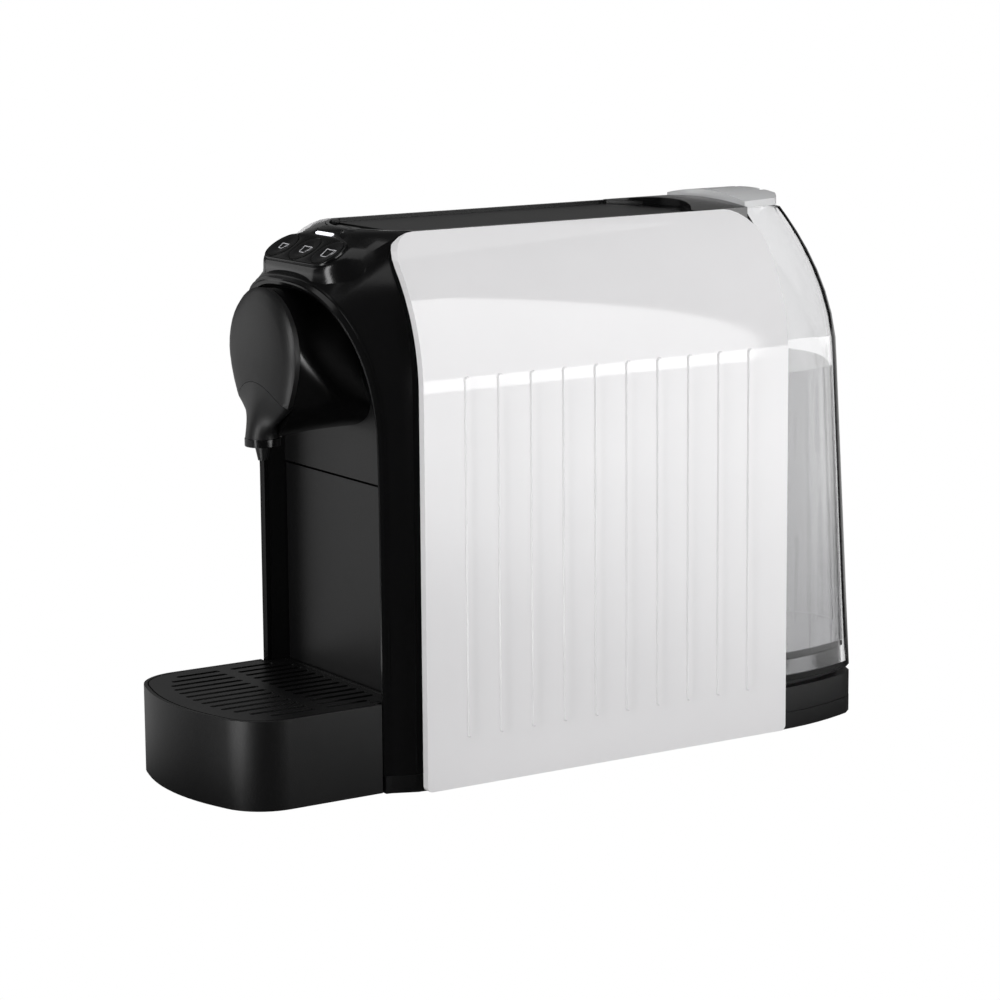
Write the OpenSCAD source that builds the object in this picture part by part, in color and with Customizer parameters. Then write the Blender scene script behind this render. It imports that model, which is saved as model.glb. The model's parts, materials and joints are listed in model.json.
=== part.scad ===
// Pod coffee machine: a black centre body between two ribbed side panels, a clear tank behind.
// Millimetres. X is across the machine, the front faces -Y, +Z is up and z = 0 is the table.

/* [Body] */
// Width over the two side panels
panel_span = 139.2; // [134:0.2:144]
// Height of the flat top deck above the table
deck_z = 250.5; // [247:0.1:253]
// Height of the curved shoulders below the deck
shoulder_drop = 68.5; // [66:0.5:71]
// Radius of the shoulders on the outside of the side panels
shoulder_r = 89.5; // [87:0.5:92]
// Height of the rubber feet that show below the base
foot_show = 1.2; // [0.8:0.1:1.6]
// Wall of the black housing
wall = 2.5; // [2:0.1:3]
// Gap left between fixed pieces that meet
seam = 0.3; // [0.2:0.05:0.4]

/* [Side panels] */
// Thickness of a side panel
panel_t = 4; // [3.5:0.1:4.4]
// Distance that a panel stands off the housing
panel_stand = 0.3; // [0.2:0.05:0.4]
// Front edge of the panels
panel_y0 = -90.5; // [-92:0.5:-89]
// Rear edge of the panels
panel_y1 = 110.8; // [109:0.1:111]
// Underside of the panels
panel_z0 = 2.5; // [2:0.1:6]
// Radius of the panels' upper corners seen from the side
panel_corner_r = 15; // [8:0.5:20]
// Number of raised ribs on a panel
rib_count = 10; // [6:1:11]
// Distance from rib to rib
rib_pitch = 17.37; // [14:0.01:18]
// Lower end of the ribs
rib_z0 = 25; // [20:1:40]
// Upper end of the ribs
rib_z1 = 188.6; // [150:0.2:190]
// Width of a rib
rib_w = 3.2; // [2:0.1:5]
// Height of a rib above the panel
rib_h = 0.9; // [0.5:0.1:1.2]

/* [Front arch] */
// Front plane of the arch at its straight lower part
arch_y = -104.5; // [-106:0.5:-103]
// Distance of the arch's outer edge in from the housing's side
arch_inset = 8.8; // [8:0.1:10]
// Height of the top of the arch
arch_top = 231; // [228:0.5:234]
// Height at which the arch starts to lean forward
arch_lean_z = 150; // [145:1:155]
// Forward lean of the arch, per square millimetre of height
arch_lean = 0.0027; // [0.0022:0.0001:0.003]
// Width of the ridged trim round the arch
trim_w = 4.7; // [4:0.1:5.2]
// Front face of the cup bay's rear wall
bay_y = -92.3; // [-93:0.1:-92]
// Height of the seam across the cup bay's rear wall
bay_seam_z = 137; // [134:0.5:140]

/* [Head] */
// Half width of the oval head
head_half = 29.5; // [27:0.5:31]
// Top of the oval head
head_z1 = 226; // [224:0.5:227]
// Height of the head's widest part
head_mid_z = 197; // [193:1:200]
// Rear edge of the head's front cover
head_y = -131.7; // [-133:0.1:-131]
// Bulge of the head's front cover
head_bulge = 5.3; // [4:0.1:6]
// Distance of the coffee spout in front of the origin
spout_y = -132.8; // [-133.5:0.1:-132]
// Radius of the ring round the spout
spout_r = 8.1; // [7.6:0.1:8.6]
// Underside of the ring round the spout
spout_z = 154.6; // [153:0.2:156]
// Length of the nozzle below the ring
nozzle_l = 6.5; // [5:0.5:8]

/* [Controls] */
// Tilt of the button fascia
fascia_tilt = 31; // [29:1:33]
// Distance of the middle button in front of the origin
button_y = -109.1; // [-110:0.1:-108.5]
// Depth of the middle button's face below the deck
button_drop = 8.9; // [8.4:0.1:9.4]
// Distance between neighbouring buttons
button_pitch = 20; // [18.6:0.1:21]
// Radius of a button
button_r = 8; // [7:0.1:8.2]
// Travel of a button
button_travel = 1; // [0.6:0.1:1.2]
// Gap round a moving button
button_gap = 0.4; // [0.3:0.05:0.5]

/* [Lever] */
// Front edge of the lever
lever_y0 = -72.6; // [-76:0.2:-70]
// Rear edge of the lever at its middle
lever_y1 = 88.8; // [86:0.2:90]
// Width of the deck's rim beside the lever
lever_margin = 3; // [2.8:0.1:5]
// Thickness of the lever's plate
lever_t = 3.6; // [3.2:0.1:3.8]
// Depth of the finger recess in front of the lever
recess_depth = 18; // [16:0.5:20]
// Front edge of the finger recess
recess_y0 = -92.5; // [-93:0.5:-91]
// Radius of the lever's hinge pin
lever_pin_r = 1.1; // [1:0.05:1.2]
// Running clearance round pins and shafts
run_gap = 0.05; // [0.03:0.01:0.08]

/* [Drip tray and bin] */
// Distance of the drip tray's side in from the arch's outer edge
tray_inset = 1.2; // [1:0.1:2]
// Front of the drip tray
tray_front = -182.5; // [-186:0.5:-178]
// Height of the tray's rim
tray_rim_z = 42.3; // [40:0.5:46]
// Underside of the tray
tray_z0 = 1.6; // [1.4:0.1:2]
// Wall of the tray
tray_wall = 2.2; // [1.8:0.1:3]
// Radius of the tray's front corners
tray_corner_r = 24; // [18:1:28]
// Gap round the grate and other lift-out pieces
lift_gap = 0.6; // [0.4:0.05:0.8]
// Thickness of the grate
grate_t = 2.6; // [2:0.1:3]
// Number of slots across the grate
slot_count = 13; // [9:2:13]
// Distance from slot to slot
slot_pitch = 7.4; // [6:0.1:7.6]
// Width of a slot
slot_w = 3; // [2:0.1:4]
// Distance of the capsule bin's side in from the edge of the removable wall
bin_margin = 4.9; // [4:0.1:9]
// Rear end of the bin's carriage
carriage_y1 = -22; // [-26:0.5:-20]

/* [Water tank] */
// Underside of the tank
tank_z0 = 24.5; // [23.5:0.5:25.5]
// Depth of the tank's upper rim below the deck
rim_drop = 1; // [0.5:0.1:2]
// Wall of the tank
tank_wall = 2.4; // [2:0.1:3]
// Front face of the tank
tank_y0 = 111.2; // [110.9:0.1:112]
// Rear of the tank and base at the middle
rear_y = 182.5; // [178:0.5:186]
// Distance of the rear base's side in from the housing's side
rear_inset = 0.7; // [0.4:0.1:1.5]
// Height of the seat that carries the tank
seat_z1 = 21.5; // [20:0.5:22.5]
// Thickness of the lid
lid_t = 2; // [1.6:0.1:2.4]
// Rise of the lid's crown
lid_crown = 3.4; // [2:0.1:4]
// Front lip of the lid
lid_y0 = 113.5; // [112:0.1:115]
// Rear edge of the lid
lid_y1 = 140.4; // [138:0.2:142]
// Radius of the lid's hinge pins
lid_pin_r = 1.2; // [1:0.05:1.4]

/* [Brewing unit] */
// Height of the brewing axis
brew_z = 190; // [186:1:194]
// Rear face of the capsule holder
holder_y = -61; // [-62:0.5:-60]
// Outer radius of a capsule's rim
capsule_r = 18.5; // [17:0.5:19]
// Radius of the piston
piston_r = 17.6; // [16:0.1:17.8]
// Travel of the piston
piston_travel = 36; // [34:0.5:37]
// Radius of the piston's rod
rod_r = 6; // [5:0.5:7]
// Radius of the pump's motor
pump_r = 17; // [15:0.5:18]
// Outer radius of a hose
hose_r = 2.6; // [2:0.1:3]

/* [Hidden] */
$fn = 48;

black = [0.03, 0.03, 0.035];
satin_black = [0.06, 0.06, 0.065];
white = [0.93, 0.93, 0.94];
steel = [0.7, 0.7, 0.72];

panel_half = panel_span / 2;
shoulder_z = deck_z - shoulder_drop;
shoulder_x = panel_half - shoulder_r;
skin_off = panel_t + panel_stand;
body_half = panel_half - skin_off;
deck_t = 6.5;
deck_half = half_at(deck_z, 0) - seam;
lever_half = deck_half - lever_margin;
arch_half = body_half - arch_inset;
tray_half = arch_half - tray_inset;
rear_half = body_half - rear_inset;
tank_z1 = deck_z - rim_drop;
button_z = deck_z - button_drop;
housing_top = deck_z - deck_t - seam;
base_z0 = foot_show;
base_floor = 2.3;
base_h = 8;
base_z1 = base_z0 + base_h;
housing_z0 = base_z1 + 0.2;
housing_y0 = -83.6;
housing_y1 = tank_y0 - 0.5;
cowl_t = 2.6;

// ---- shared functions -------------------------------------------------------------------

function unit(v) = v / norm(v);
function mix(a, b, t) = a + (b - a) * t;
function flip_x(pts) = [for (i = [len(pts) - 1:-1:0]) [-pts[i][0], pts[i][1]]];

// Points of a round corner of radius r at b, on the way from a to c
function corner(a, b, c, r, n) =
    let (u = unit(a - b), v = unit(c - b), half = acos(u * v) / 2,
         centre = b + unit(u + v) * r / sin(half),
         p = b + u * r / tan(half) - centre, q = b + v * r / tan(half) - centre,
         a0 = atan2(p[1], p[0]), turn = atan2(p[0] * q[1] - p[1] * q[0], p * q))
    [for (i = [0:n]) centre + r * [cos(a0 + turn * i / n), sin(a0 + turn * i / n)]];

// A closed outline whose corners are rounded, each [x, y, radius]
function rounded(c, n = 6) = [for (i = [0:len(c) - 1])
    let (p = c[(i + len(c) - 1) % len(c)], q = c[i], s = c[(i + 1) % len(c)])
    each (q[2] > 0 ? corner([p[0], p[1]], [q[0], q[1]], [s[0], s[1]], q[2], n) : [[q[0], q[1]]])];

// Half width of the shoulder profile at height z, set in from the panel's face by off
function half_at(z, off) = z <= shoulder_z ? panel_half - off
    : shoulder_x + sqrt(pow(shoulder_r - off, 2) - pow(z - shoulder_z, 2));

// The body's cross section in X and Z, set in by off, between two heights
function profile(off, z0, z1, n = 14) =
    let (top = asin((z1 - shoulder_z) / (shoulder_r - off)),
         right = concat([[panel_half - off, z0]], [for (i = [0:n])
             [shoulder_x + (shoulder_r - off) * cos(top * i / n),
              shoulder_z + (shoulder_r - off) * sin(top * i / n)]]))
    concat(right, flip_x(right));

// A solid through a row of closed sections, each with as many points
module skin(s, closed = false) {
    n = len(s);
    m = len(s[0]);
    rows = closed ? n - 1 : n - 2;
    sides = [for (i = [0:rows]) for (j = [0:m - 1])
        let (k = (j + 1) % m, a = i * m, b = ((i + 1) % n) * m)
        each [[a + j, b + k, a + k], [a + j, b + j, b + k]]];
    ends = closed ? [] : [[for (j = [0:m - 1]) j], [for (j = [m - 1:-1:0]) (n - 1) * m + j]];
    polyhedron([for (a = s) each a], concat(sides, ends), convexity = 6);
}

// Extrusions along Y of an X-Z outline, and along X of a Y-Z outline
module along_y(y0, y1) translate([0, y1, 0]) rotate([90, 0, 0]) linear_extrude(y1 - y0) children();
module along_x(x0, x1) translate([x0, 0, 0]) rotate([90, 0, 90]) linear_extrude(x1 - x0) children();
module box(a, b) translate(a) cube(b - a);
module both() { children(); mirror([1, 0, 0]) children(); }
module rod(p, r, l, axis = "z") translate(p)
    rotate(axis == "x" ? [0, 90, 0] : axis == "y" ? [-90, 0, 0] : [0, 0, 0]) cylinder(r = r, h = l);

// A round tube swept along a smooth line through its points
function bend(p, i, t) =
    let (a = p[max(i - 1, 0)], b = p[i], c = p[i + 1], d = p[min(i + 2, len(p) - 1)])
    0.5 * (2 * b + (c - a) * t + (2 * a - 5 * b + 4 * c - d) * t * t
        + (3 * b - a - 3 * c + d) * t * t * t);
function route(p, n) = [for (i = [0:len(p) - 2]) for (k = [0:n - 1]) bend(p, i, k / n), p[len(p) - 1]];
module hose(points, r, n = 4, sides = 8) {
    path = route(points, n);
    rings = [for (i = [0:len(path) - 1])
        let (d = unit(path[min(i + 1, len(path) - 1)] - path[max(i - 1, 0)]),
             u = unit(cross(d, abs(d[2]) < 0.8 ? [0, 0, 1] : [1, 0, 0])), v = cross(d, u))
        [for (k = [0:sides - 1]) path[i] + r * (u * cos(360 * k / sides) + v * sin(360 * k / sides))]];
    skin(rings);
}

// ---- chassis ----------------------------------------------------------------------------

// Half of a rear plan: the side curves in to a soft corner and a shallow arc closes the back
function rear_plan(y0, inset, wide, cx, cy, yr, n = 5) =
    let (side = [for (i = [0:n]) let (t = 0.86 * i / n)
             [mix(wide, cx, t * t) - inset, mix(y0, cy, t)]],
         back = [for (i = [0:n]) let (u = 0.84 * (1 - i / n))
             [(cx - inset) * u, mix(cy, yr, 1 - u * u) - inset]],
         a = side[n], b = back[0], c = [cx - inset, cy + (yr - cy) * 0.2 - inset * 0.8])
    concat(side, [for (t = [0.3, 0.7]) (1 - t) * (1 - t) * a + 2 * t * (1 - t) * c + t * t * b],
        back);
function rear_outline(y0, inset, wide, cx, cy, yr) =
    let (right = rear_plan(y0, inset, wide, cx, cy, yr), left = flip_x(right))
    concat(right, [for (i = [1:len(left) - 1]) left[i]]);

base_corner = [55, 160];
tray_inner = arch_half - trim_w - 0.9;
screw_x = body_half - 7.3;
screw_places = [[-screw_x, -60], [screw_x, -60], [-screw_x, 70], [screw_x, 70]];
gland = [28, base_z0 + 4];
gland_r = 3.4;
gland_y = [152, 176];
foot_places = [[-52, -70], [52, -70], [-42, 155], [42, 155]];
front_outline = [[-arch_half + 0.5, arch_y + 0.4], [-tray_inner - 0.6, arch_y + 0.4],
    [-tray_inner - 0.6, bay_y + 1], [tray_inner + 0.6, bay_y + 1], [tray_inner + 0.6, arch_y + 0.4],
    [arch_half - 0.5, arch_y + 0.4], [arch_half, arch_y + 3], [body_half - 4, panel_y0],
    [body_half - 3.4, housing_y0], [body_half, housing_y0], [body_half, tank_y0 + 1],
    [-body_half, tank_y0 + 1], [-body_half, housing_y0], [-body_half + 3.4, housing_y0],
    [-body_half + 4, panel_y0], [-arch_half, arch_y + 3]];
bin_half = tray_inner - bin_margin;
rail_x = bin_half + 0.4;

module base_plate() color(satin_black) difference() {
    union() {
        translate([0, 0, base_z0]) linear_extrude(base_floor) polygon(front_outline);
        translate([0, 0, base_z0]) linear_extrude(base_h) difference() {
            polygon(front_outline);
            polygon([[-body_half + 5, bay_y - 9], [body_half - 5, bay_y - 9],
                [body_half - 5, housing_y0], [body_half - wall, housing_y0],
                [body_half - wall, tank_y0], [-body_half + wall, tank_y0],
                [-body_half + wall, housing_y0], [-body_half + 5, housing_y0]]);
        }
        translate([0, 0, base_z0]) linear_extrude(base_h)
            polygon(rear_outline(tank_y0, 0, rear_half, base_corner[0], base_corner[1], rear_y));
        // rails that guide the tray's carriage
        both() box([rail_x, bay_y + 3, base_z0], [rail_x + 2, carriage_y1 + 1, base_z1]);
        for (p = screw_places) translate([p[0], p[1], base_z0]) cylinder(r = 4, h = base_h);
    }
    both() box([tray_inner + 0.6 - 9, bay_y - 20, base_z0 - 1], [tray_inner + 0.6, bay_y + 1, 20]);
    for (p = screw_places) translate([p[0], p[1], base_z0 - 1]) {
        cylinder(r = 1.6, h = base_h + 2);
        cylinder(r = 2.8, h = 3.4);
    }
    for (p = foot_places) translate([p[0], p[1], base_z0 - 1]) cylinder(r = 5, h = 2);
    rod([gland[0], gland_y[0], gland[1]], gland_r + 0.05, 60, "y");
    rod([gland[0], tank_y0 - 12, gland[1]], 2.2, 60, "y");
}

module feet() color("dimgray") for (p = foot_places)
    translate([p[0], p[1], 0]) cylinder(r = 4.8, h = base_z0 + 1);

module base_screws() color(steel) for (p = screw_places) translate([p[0], p[1], 0]) {
    translate([0, 0, base_z0 + 0.6]) cylinder(r = 2.7, h = 1.8);
    translate([0, 0, base_z0 + 1]) cylinder(r = 1.5, h = base_h + 6);
}

// ---- housing, deck and lever ------------------------------------------------------------

chute_y0 = holder_y + 0.5;
chute_y1 = holder_y + piston_travel - 5;
chute_half = capsule_r + 2.5;
lever_z1 = deck_z - 1.7;
lever_z0 = lever_z1 - lever_t;
lever_pin = [lever_y1 - 1.8, lever_z1 - lever_t / 2];
knuckle = 12;
shelf_z = [139, 142];

module housing() color(black) difference() {
    union() {
        along_y(housing_y0, housing_y1 - wall - 0.1) difference() {
            polygon(profile(skin_off, housing_z0, housing_top));
            polygon(profile(skin_off + wall, housing_z0 - 1, housing_top - wall));
        }
        // shelves that carry the brewing unit and the heater
        both() box([38, -76, shelf_z[0]], [body_half - wall / 2, 12, shelf_z[1]]);
        box([-body_half + wall / 2, 28, shelf_z[0]], [body_half - wall / 2, 100, shelf_z[1]]);
        for (p = screw_places) translate([p[0], p[1], housing_z0]) cylinder(r = 5, h = 12);
        // standoffs of the main board
        for (z = [60, 112], y = [32, 86]) box([50, y - 3, z - 3], [body_half - wall / 2, y + 3, z + 3]);
        // front flange behind the cowl
        along_y(housing_y0, housing_y0 + wall) difference() {
            polygon(profile(skin_off, 141, housing_top));
            polygon(profile(skin_off + 10, 140, housing_top - 9));
        }
    }
    box([-chute_half, chute_y0, housing_top - 6], [chute_half, chute_y1, housing_top + 1]);
    for (p = screw_places) translate([p[0], p[1], base_z1 - 1]) cylinder(r = 1.55, h = 12);
    box([-lever_half - 0.3, -99, deck_z - recess_depth - 0.3],
        [lever_half + 0.3, cup_y1 + 0.3, deck_z]);
    // room for the cowl's upper rear edge
    box([-body_half - 1, housing_y0 - 9, deck_z - 42.5], [body_half + 1, -74.7, deck_z]);
}

module rear_cover() color(black) difference() {
    along_y(housing_y1 - wall, housing_y1) polygon(profile(skin_off, housing_z0, housing_top));
    rod([0, housing_y1 - 6, 15], hose_r + 0.5, 10, "y");
}

function lever_tail(x) = lever_y1 - 0.0114 * x * x;
function lever_plan(gap, back) =
    let (w = lever_half + gap, tail = [for (i = [0:8]) let (x = mix(w, -w, i / 8)) [x, lever_tail(x) + back]])
    concat(rounded([[-w, 60, 0], [-w, lever_y0 - gap, 2.5], [w, lever_y0 - gap, 2.5], [w, 60, 0]], 4),
        tail);
recess_sweep = 17.6;
function deck_front(x) = recess_y0 + recess_sweep * pow(x / (deck_half - 1.4), 2);
recess_half = lever_half - 2.9;
cup_y1 = lever_y0 + 10;
function front_line(w, gap) = [for (i = [0:20]) let (x = mix(-w, w, i / 20)) [x, deck_front(x) + gap]];

// Room for the lever at rest and, above its pin, for its tail as it swings up
deck_y1 = lever_y1 + 0.8;
swing_gap = 4.6;
module pin_ears() both()
    box([knuckle + 0.3, lever_pin[0] - 2.3, lever_z0 - 1], [knuckle + 4.9, deck_y1, lever_z1 - 0.1]);
module lever_room() difference() {
    union() {
        translate([0, 0, lever_z0 - 0.15]) linear_extrude(9) polygon(lever_plan(0.4, 0.5));
        translate([0, 0, lever_pin[1] + 1]) linear_extrude(9) polygon(lever_plan(0.4, swing_gap));
    }
    pin_ears();
}

// Flat deck with the lever's pocket and the capsule chute
module top_deck() color(black) difference() {
    box([-deck_half, lever_y0 - 0.1, deck_z - deck_t], [deck_half, deck_y1, deck_z]);
    lever_room();
    // the fingers reach in here under the lever
    box([-recess_half, lever_y0 - 1, deck_z - deck_t - 1], [recess_half, cup_y1 - 2, deck_z]);
    box([-chute_half, chute_y0, housing_top - 1], [chute_half, chute_y1, deck_z + 1]);
    // relief behind the lever's knuckle, bores of its pin
    rod([-knuckle - 0.3, lever_pin[0], lever_pin[1]], lever_t / 2 + 0.3, 2 * knuckle + 0.6, "x");
    rod([-knuckle - 4.4, lever_pin[0], lever_pin[1]], lever_pin_r + run_gap, 2 * knuckle + 8.8, "x");
}

// Finger recess in front of the lever: a moulded cup whose rim lies flush with the deck
module recess_cup() color(black) difference() {
    union() {
        translate([0, 0, deck_z - deck_t - 0.1]) linear_extrude(deck_t + 0.1)
            polygon(concat(front_line(deck_half, 0.4), [[deck_half, lever_y0 - 0.1 - seam],
                [-deck_half, lever_y0 - 0.1 - seam]]));
        translate([0, 0, deck_z - recess_depth]) linear_extrude(recess_depth - deck_t - 0.05)
            polygon(concat(front_line(lever_half, 0.4), [[lever_half, cup_y1], [-lever_half, cup_y1]]));
    }
    translate([0, 0, deck_z - recess_depth + 2]) linear_extrude(recess_depth)
        polygon(concat(front_line(recess_half, 2.2), [[recess_half, cup_y1 - 2], [-recess_half, cup_y1 - 2]]));
}

// Crowned black piece between the lever and the tank's lid
module rear_deck() color(black) difference() {
    along_y(lever_y1 - 9.4, housing_y1) polygon(concat([[deck_half, housing_top + 0.1]],
        [for (i = [0:12]) let (x = mix(deck_half, -deck_half, i / 12))
            [x, deck_z + 0.2 + rear_crown * (1 - pow(x / deck_half, 2))]], [[-deck_half, housing_top + 0.1]]));
    lever_room();
    box([-deck_half - 1, 0, housing_top], [deck_half + 1, deck_y1 + 0.2, deck_z + 0.1]);
}
rear_crown = 2.4;

module lever() color(satin_black) difference() {
    union() {
        difference() {
            translate([0, 0, lever_z0]) linear_extrude(lever_t) polygon(lever_plan(0, 0));
            box([-knuckle - 5.2, lever_pin[0], 0], [knuckle + 5.2, 99, 300]);
            both() box([knuckle, lever_pin[0] - 3.1, 0], [knuckle + 5.2, 99, 300]);
        }
        rod([-knuckle, lever_pin[0], lever_pin[1]], lever_t / 2, 2 * knuckle, "x");
    }
    rod([-knuckle - 1, lever_pin[0], lever_pin[1]], lever_pin_r + run_gap, 2 * knuckle + 2, "x");
    // groove along the front lip
    box([-lever_half + 2, lever_y0 - 1, lever_z0 + 1.4], [lever_half - 2, lever_y0 + 0.5, lever_z0 + 1.8]);
}

module lever_pin() color(steel)
    rod([-knuckle - 4.2, lever_pin[0], lever_pin[1]], lever_pin_r, 2 * knuckle + 8.4, "x");

// ---- arch and cowl ----------------------------------------------------------------------

arch_z = 165;
arch_rise = arch_top - arch_z;
function lean_y(z) = arch_y - arch_lean * pow(max(0, z - arch_lean_z), 2);
function arch_point(q, d, n = 2.7) = q < 0 ? [arch_half - d, mix(base_z1, arch_z, 1 + q)]
    : [(arch_half - d) * pow(cos(q * 90), 2 / n), arch_z + (arch_rise - d) * pow(sin(q * 90), 2 / n)];
arch_steps = concat([for (i = [0:4]) -1 + i / 5], [for (i = [0:18]) 1 - pow(1 - i / 18, 1.35)]);
// An open arch whose cross section is a row of [inset, depth] pairs
module arch_band(cut) {
    right = [for (q = arch_steps) [for (c = cut) let (p = arch_point(q, c[0]))
        [p[0], lean_y(arch_point(q, 0)[1]) + c[1], p[1]]]];
    skin(concat(right, [for (i = [len(right) - 2:-1:0]) [for (p = right[i]) [-p[0], p[1], p[2]]]]));
}

module arch_trim() color(black)
    arch_band([[trim_w, 3], [trim_w, 0.8], [3.3, 0.1], [2.7, 0.4], [2, 0], [1, 2.3], [0.5, 2.2], [0, 3]]);

function inside(x, z, off) = z <= deck_z - 0.2 && (x <= deck_half - 0.1 || x <= half_at(z, off));
function push(p, off, lo = 0.85, hi = 1.25, n = 12) = n == 0 ? lo
    : let (m = (lo + hi) / 2) inside(p[0] * m, arch_z + (p[1] - arch_z) * m, off)
        ? push(p, off, m, hi, n - 1) : push(p, off, lo, m, n - 1);
cowl_half = body_half - 3.3;
cowl_rise = deck_z - 0.2 - arch_z;
function cowl_back(q, inset) = q < 0 ? [cowl_half - inset, mix(base_z1, arch_z, 1 + q)]
    : let (p = [cowl_half * pow(cos(q * 90), 2 / 3), arch_z + cowl_rise * pow(sin(q * 90), 2 / 3)],
           k = push(p, 4.8 + 2.8 * max(0, 1 - 2 * q)))
    [max(0, p[0] * k - inset * pow(cos(q * 90), 0.5)),
     arch_z + (p[1] - arch_z) * k - inset * pow(sin(q * 90), 0.5)];
function cowl_y(p) = let (t = min(1, max(0, (p[1] - deck_z + 35.5) / 25)))
    mix(housing_y0 - 0.3, min(-75, deck_front(p[0])), t);
function cowl_mid(q, s, inset) =
    let (a = arch_point(q, inset), b = cowl_back(q, inset), e = cowl_back(q, 0),
         u = 1 - pow(1 - s, 1.6))
    [mix(a[0], b[0], u), mix(lean_y(arch_point(q, 0)[1]) + 3.2, cowl_y([b[0], e[1]]), s), mix(a[1], b[1], u)];
cowl_s = [0, 0.08, 0.2, 0.35, 0.52, 0.7, 0.86, 1];
module cowl_shell() {
    right = [for (q = arch_steps) concat([for (s = cowl_s) cowl_mid(q, s, 0)],
        [for (i = [len(cowl_s) - 1:-1:0]) cowl_mid(q, cowl_s[i], cowl_t)])];
    skin(concat(right, [for (i = [len(right) - 2:-1:0]) [for (p = right[i]) [-p[0], p[1], p[2]]]]));
}

module front_cowl() color(black) difference() {
    cowl_shell();
    fascia_frame() translate([0, 0, -14]) linear_extrude(30) fascia_shape(0.25);
    // room for the side panels' upper edges
    both() along_y(panel_y0 - 0.3, housing_y0 + 20) difference() {
        polygon(profile(-3, 150, deck_z + 4));
        polygon(profile(panel_t + 0.2, 100, deck_z + 6));
        translate([-100, 0]) square([100 + deck_half, 400]);
    }
}

// Wall of the cup bay: the arch's inner side and the bay's rear wall above the seam
liner_d = cowl_t + 0.35;
wall_half = arch_half - trim_w + 0.4;
module bay_liner() color(black) {
    right = [for (q = arch_steps) let (a = arch_point(q, liner_d), b = arch_point(q, trim_w),
            f = lean_y(arch_point(q, 0)[1]) + 3.25)
        [[a[0], f, a[1]], [a[0], bay_y + 2.5, a[1]], [b[0], bay_y + 2.5, b[1]], [b[0], f, b[1]]]];
    skin(concat(right, [for (i = [len(right) - 2:-1:0]) [for (p = right[i]) [-p[0], p[1], p[2]]]]));
    difference() {
        along_y(bay_y, bay_y + 2.4) polygon(concat([[wall_half, bay_seam_z]],
            [for (q = arch_steps) if (q >= 0) arch_point(q, trim_w - 0.4)],
            [for (i = [len(arch_steps) - 2:-1:0]) let (p = arch_point(arch_steps[i], trim_w - 0.4))
                if (arch_steps[i] >= 0) [-p[0], p[1]]], [[-wall_half, bay_seam_z]]));
        rod([0, bay_y - 1, outlet_z], 4.1, 9, "y");
    }
}

// ---- head -------------------------------------------------------------------------------

outlet_z = brew_z - 10;
// Egg outline: half width w at zm, top zt, bottom zb
function egg(w, zt, zm, zb, up, low, n = 10) =
    let (right = concat([for (i = [0:n]) let (a = 90 - 90 * i / n)
            [w * pow(cos(a), 2 / low), zm - (zm - zb) * pow(sin(a), 2 / low)]],
        [for (i = [1:n]) let (a = 90 * i / n)
            [w * pow(max(0, cos(a)), 2 / up), zm + (zt - zm) * pow(sin(a), 2 / up)]]))
    concat(right, [for (i = [2 * n - 1:-1:1]) [-right[i][0], right[i][1]]]);
function at_y(y, pts) = [for (p = pts) [p[0], y, p[1]]];

head_back = bay_y - 0.1;
head_steps = 6;
module head_body() color(black) difference() {
    skin([for (i = [0:head_steps]) let (t = 1 - pow(1 - i / head_steps, 1.4), k = 1 - t)
        at_y(mix(head_back, head_y + 2.9, t), egg(head_half - 0.7 - 1.8 * k, head_z1 - 0.6 - 9.4 * k * k,
            head_mid_z - 24 * (1 - pow(t, 1.45)), spout_z + 2.4 + 3.5 * (1 - t * t),
            1.1 + 0.9 * pow(t, 1.15), 2 - 0.4 * pow(t, 1.5)))]);
    rod([0, spout_y + 8.6, outlet_z], 2.6, 40, "y");
    rod([0, spout_y + 9, 166], 2, outlet_z - 166);
    rod([0, spout_y, 168.3], 1.2, 10, "y");
    // room for the ring round the spout
    rod([0, spout_y, spout_z - 5], spout_r + 0.4, 9.4);
    rod([0, spout_y, spout_z - 5], nozzle_head_r + 0.1, 17.6);
}

function cap_section(k, y) = at_y(y, [for (p = egg(head_half, head_z1, head_mid_z, spout_z + 1.4, 2, 1.6))
    [p[0] * k, 192 + (p[1] - 192) * k]]);
module cap_solid() skin([cap_section(0.985, head_y + 2.6), cap_section(1, head_y),
    cap_section(0.94, head_y - 1.9), cap_section(0.8, head_y - 3.4), cap_section(0.55, head_y - 4.6),
    cap_section(0.28, head_y - 5.2), cap_section(0.03, head_y - head_bulge)]);
module below_line(gap) along_y(-160, -110) polygon(concat([for (i = [0:16])
    let (x = -32 + 4 * i) [x, 184 - 0.0227 * x * x - gap]], [[40, 120], [-40, 120]]));

module head_cap() color(satin_black) difference() {
    cap_solid();
    below_line(0);
    rod([0, head_y - 2, 198], 12, 6, "y");
}

module head_lower_cover() color(satin_black) difference() {
    intersection() {
        union() {
            cap_solid();
            hull() {
                translate([0, spout_y, spout_z + 4]) cylinder(r = spout_r + 0.2, h = 0.4, $fn = 32);
                translate([0, spout_y + 5, 181]) cylinder(r = 6.5, h = 0.4, $fn = 32);
            }
        }
        below_line(0.25);
        box([-40, -150, spout_z + 4], [40, head_y + 2.6, 190]);
    }
    rod([0, spout_y, spout_z - 4], nozzle_head_r + 0.1, 19.4);
    rod([0, spout_y, 168.3], 1.2, 10, "y");
}

nozzle_head_r = 4.9;
module spout_ring() color(black) translate([0, spout_y, spout_z]) difference() {
    cylinder(r = spout_r, h = 3.9);
    translate([0, 0, -1]) cylinder(r = 4, h = 6);
}

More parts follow.
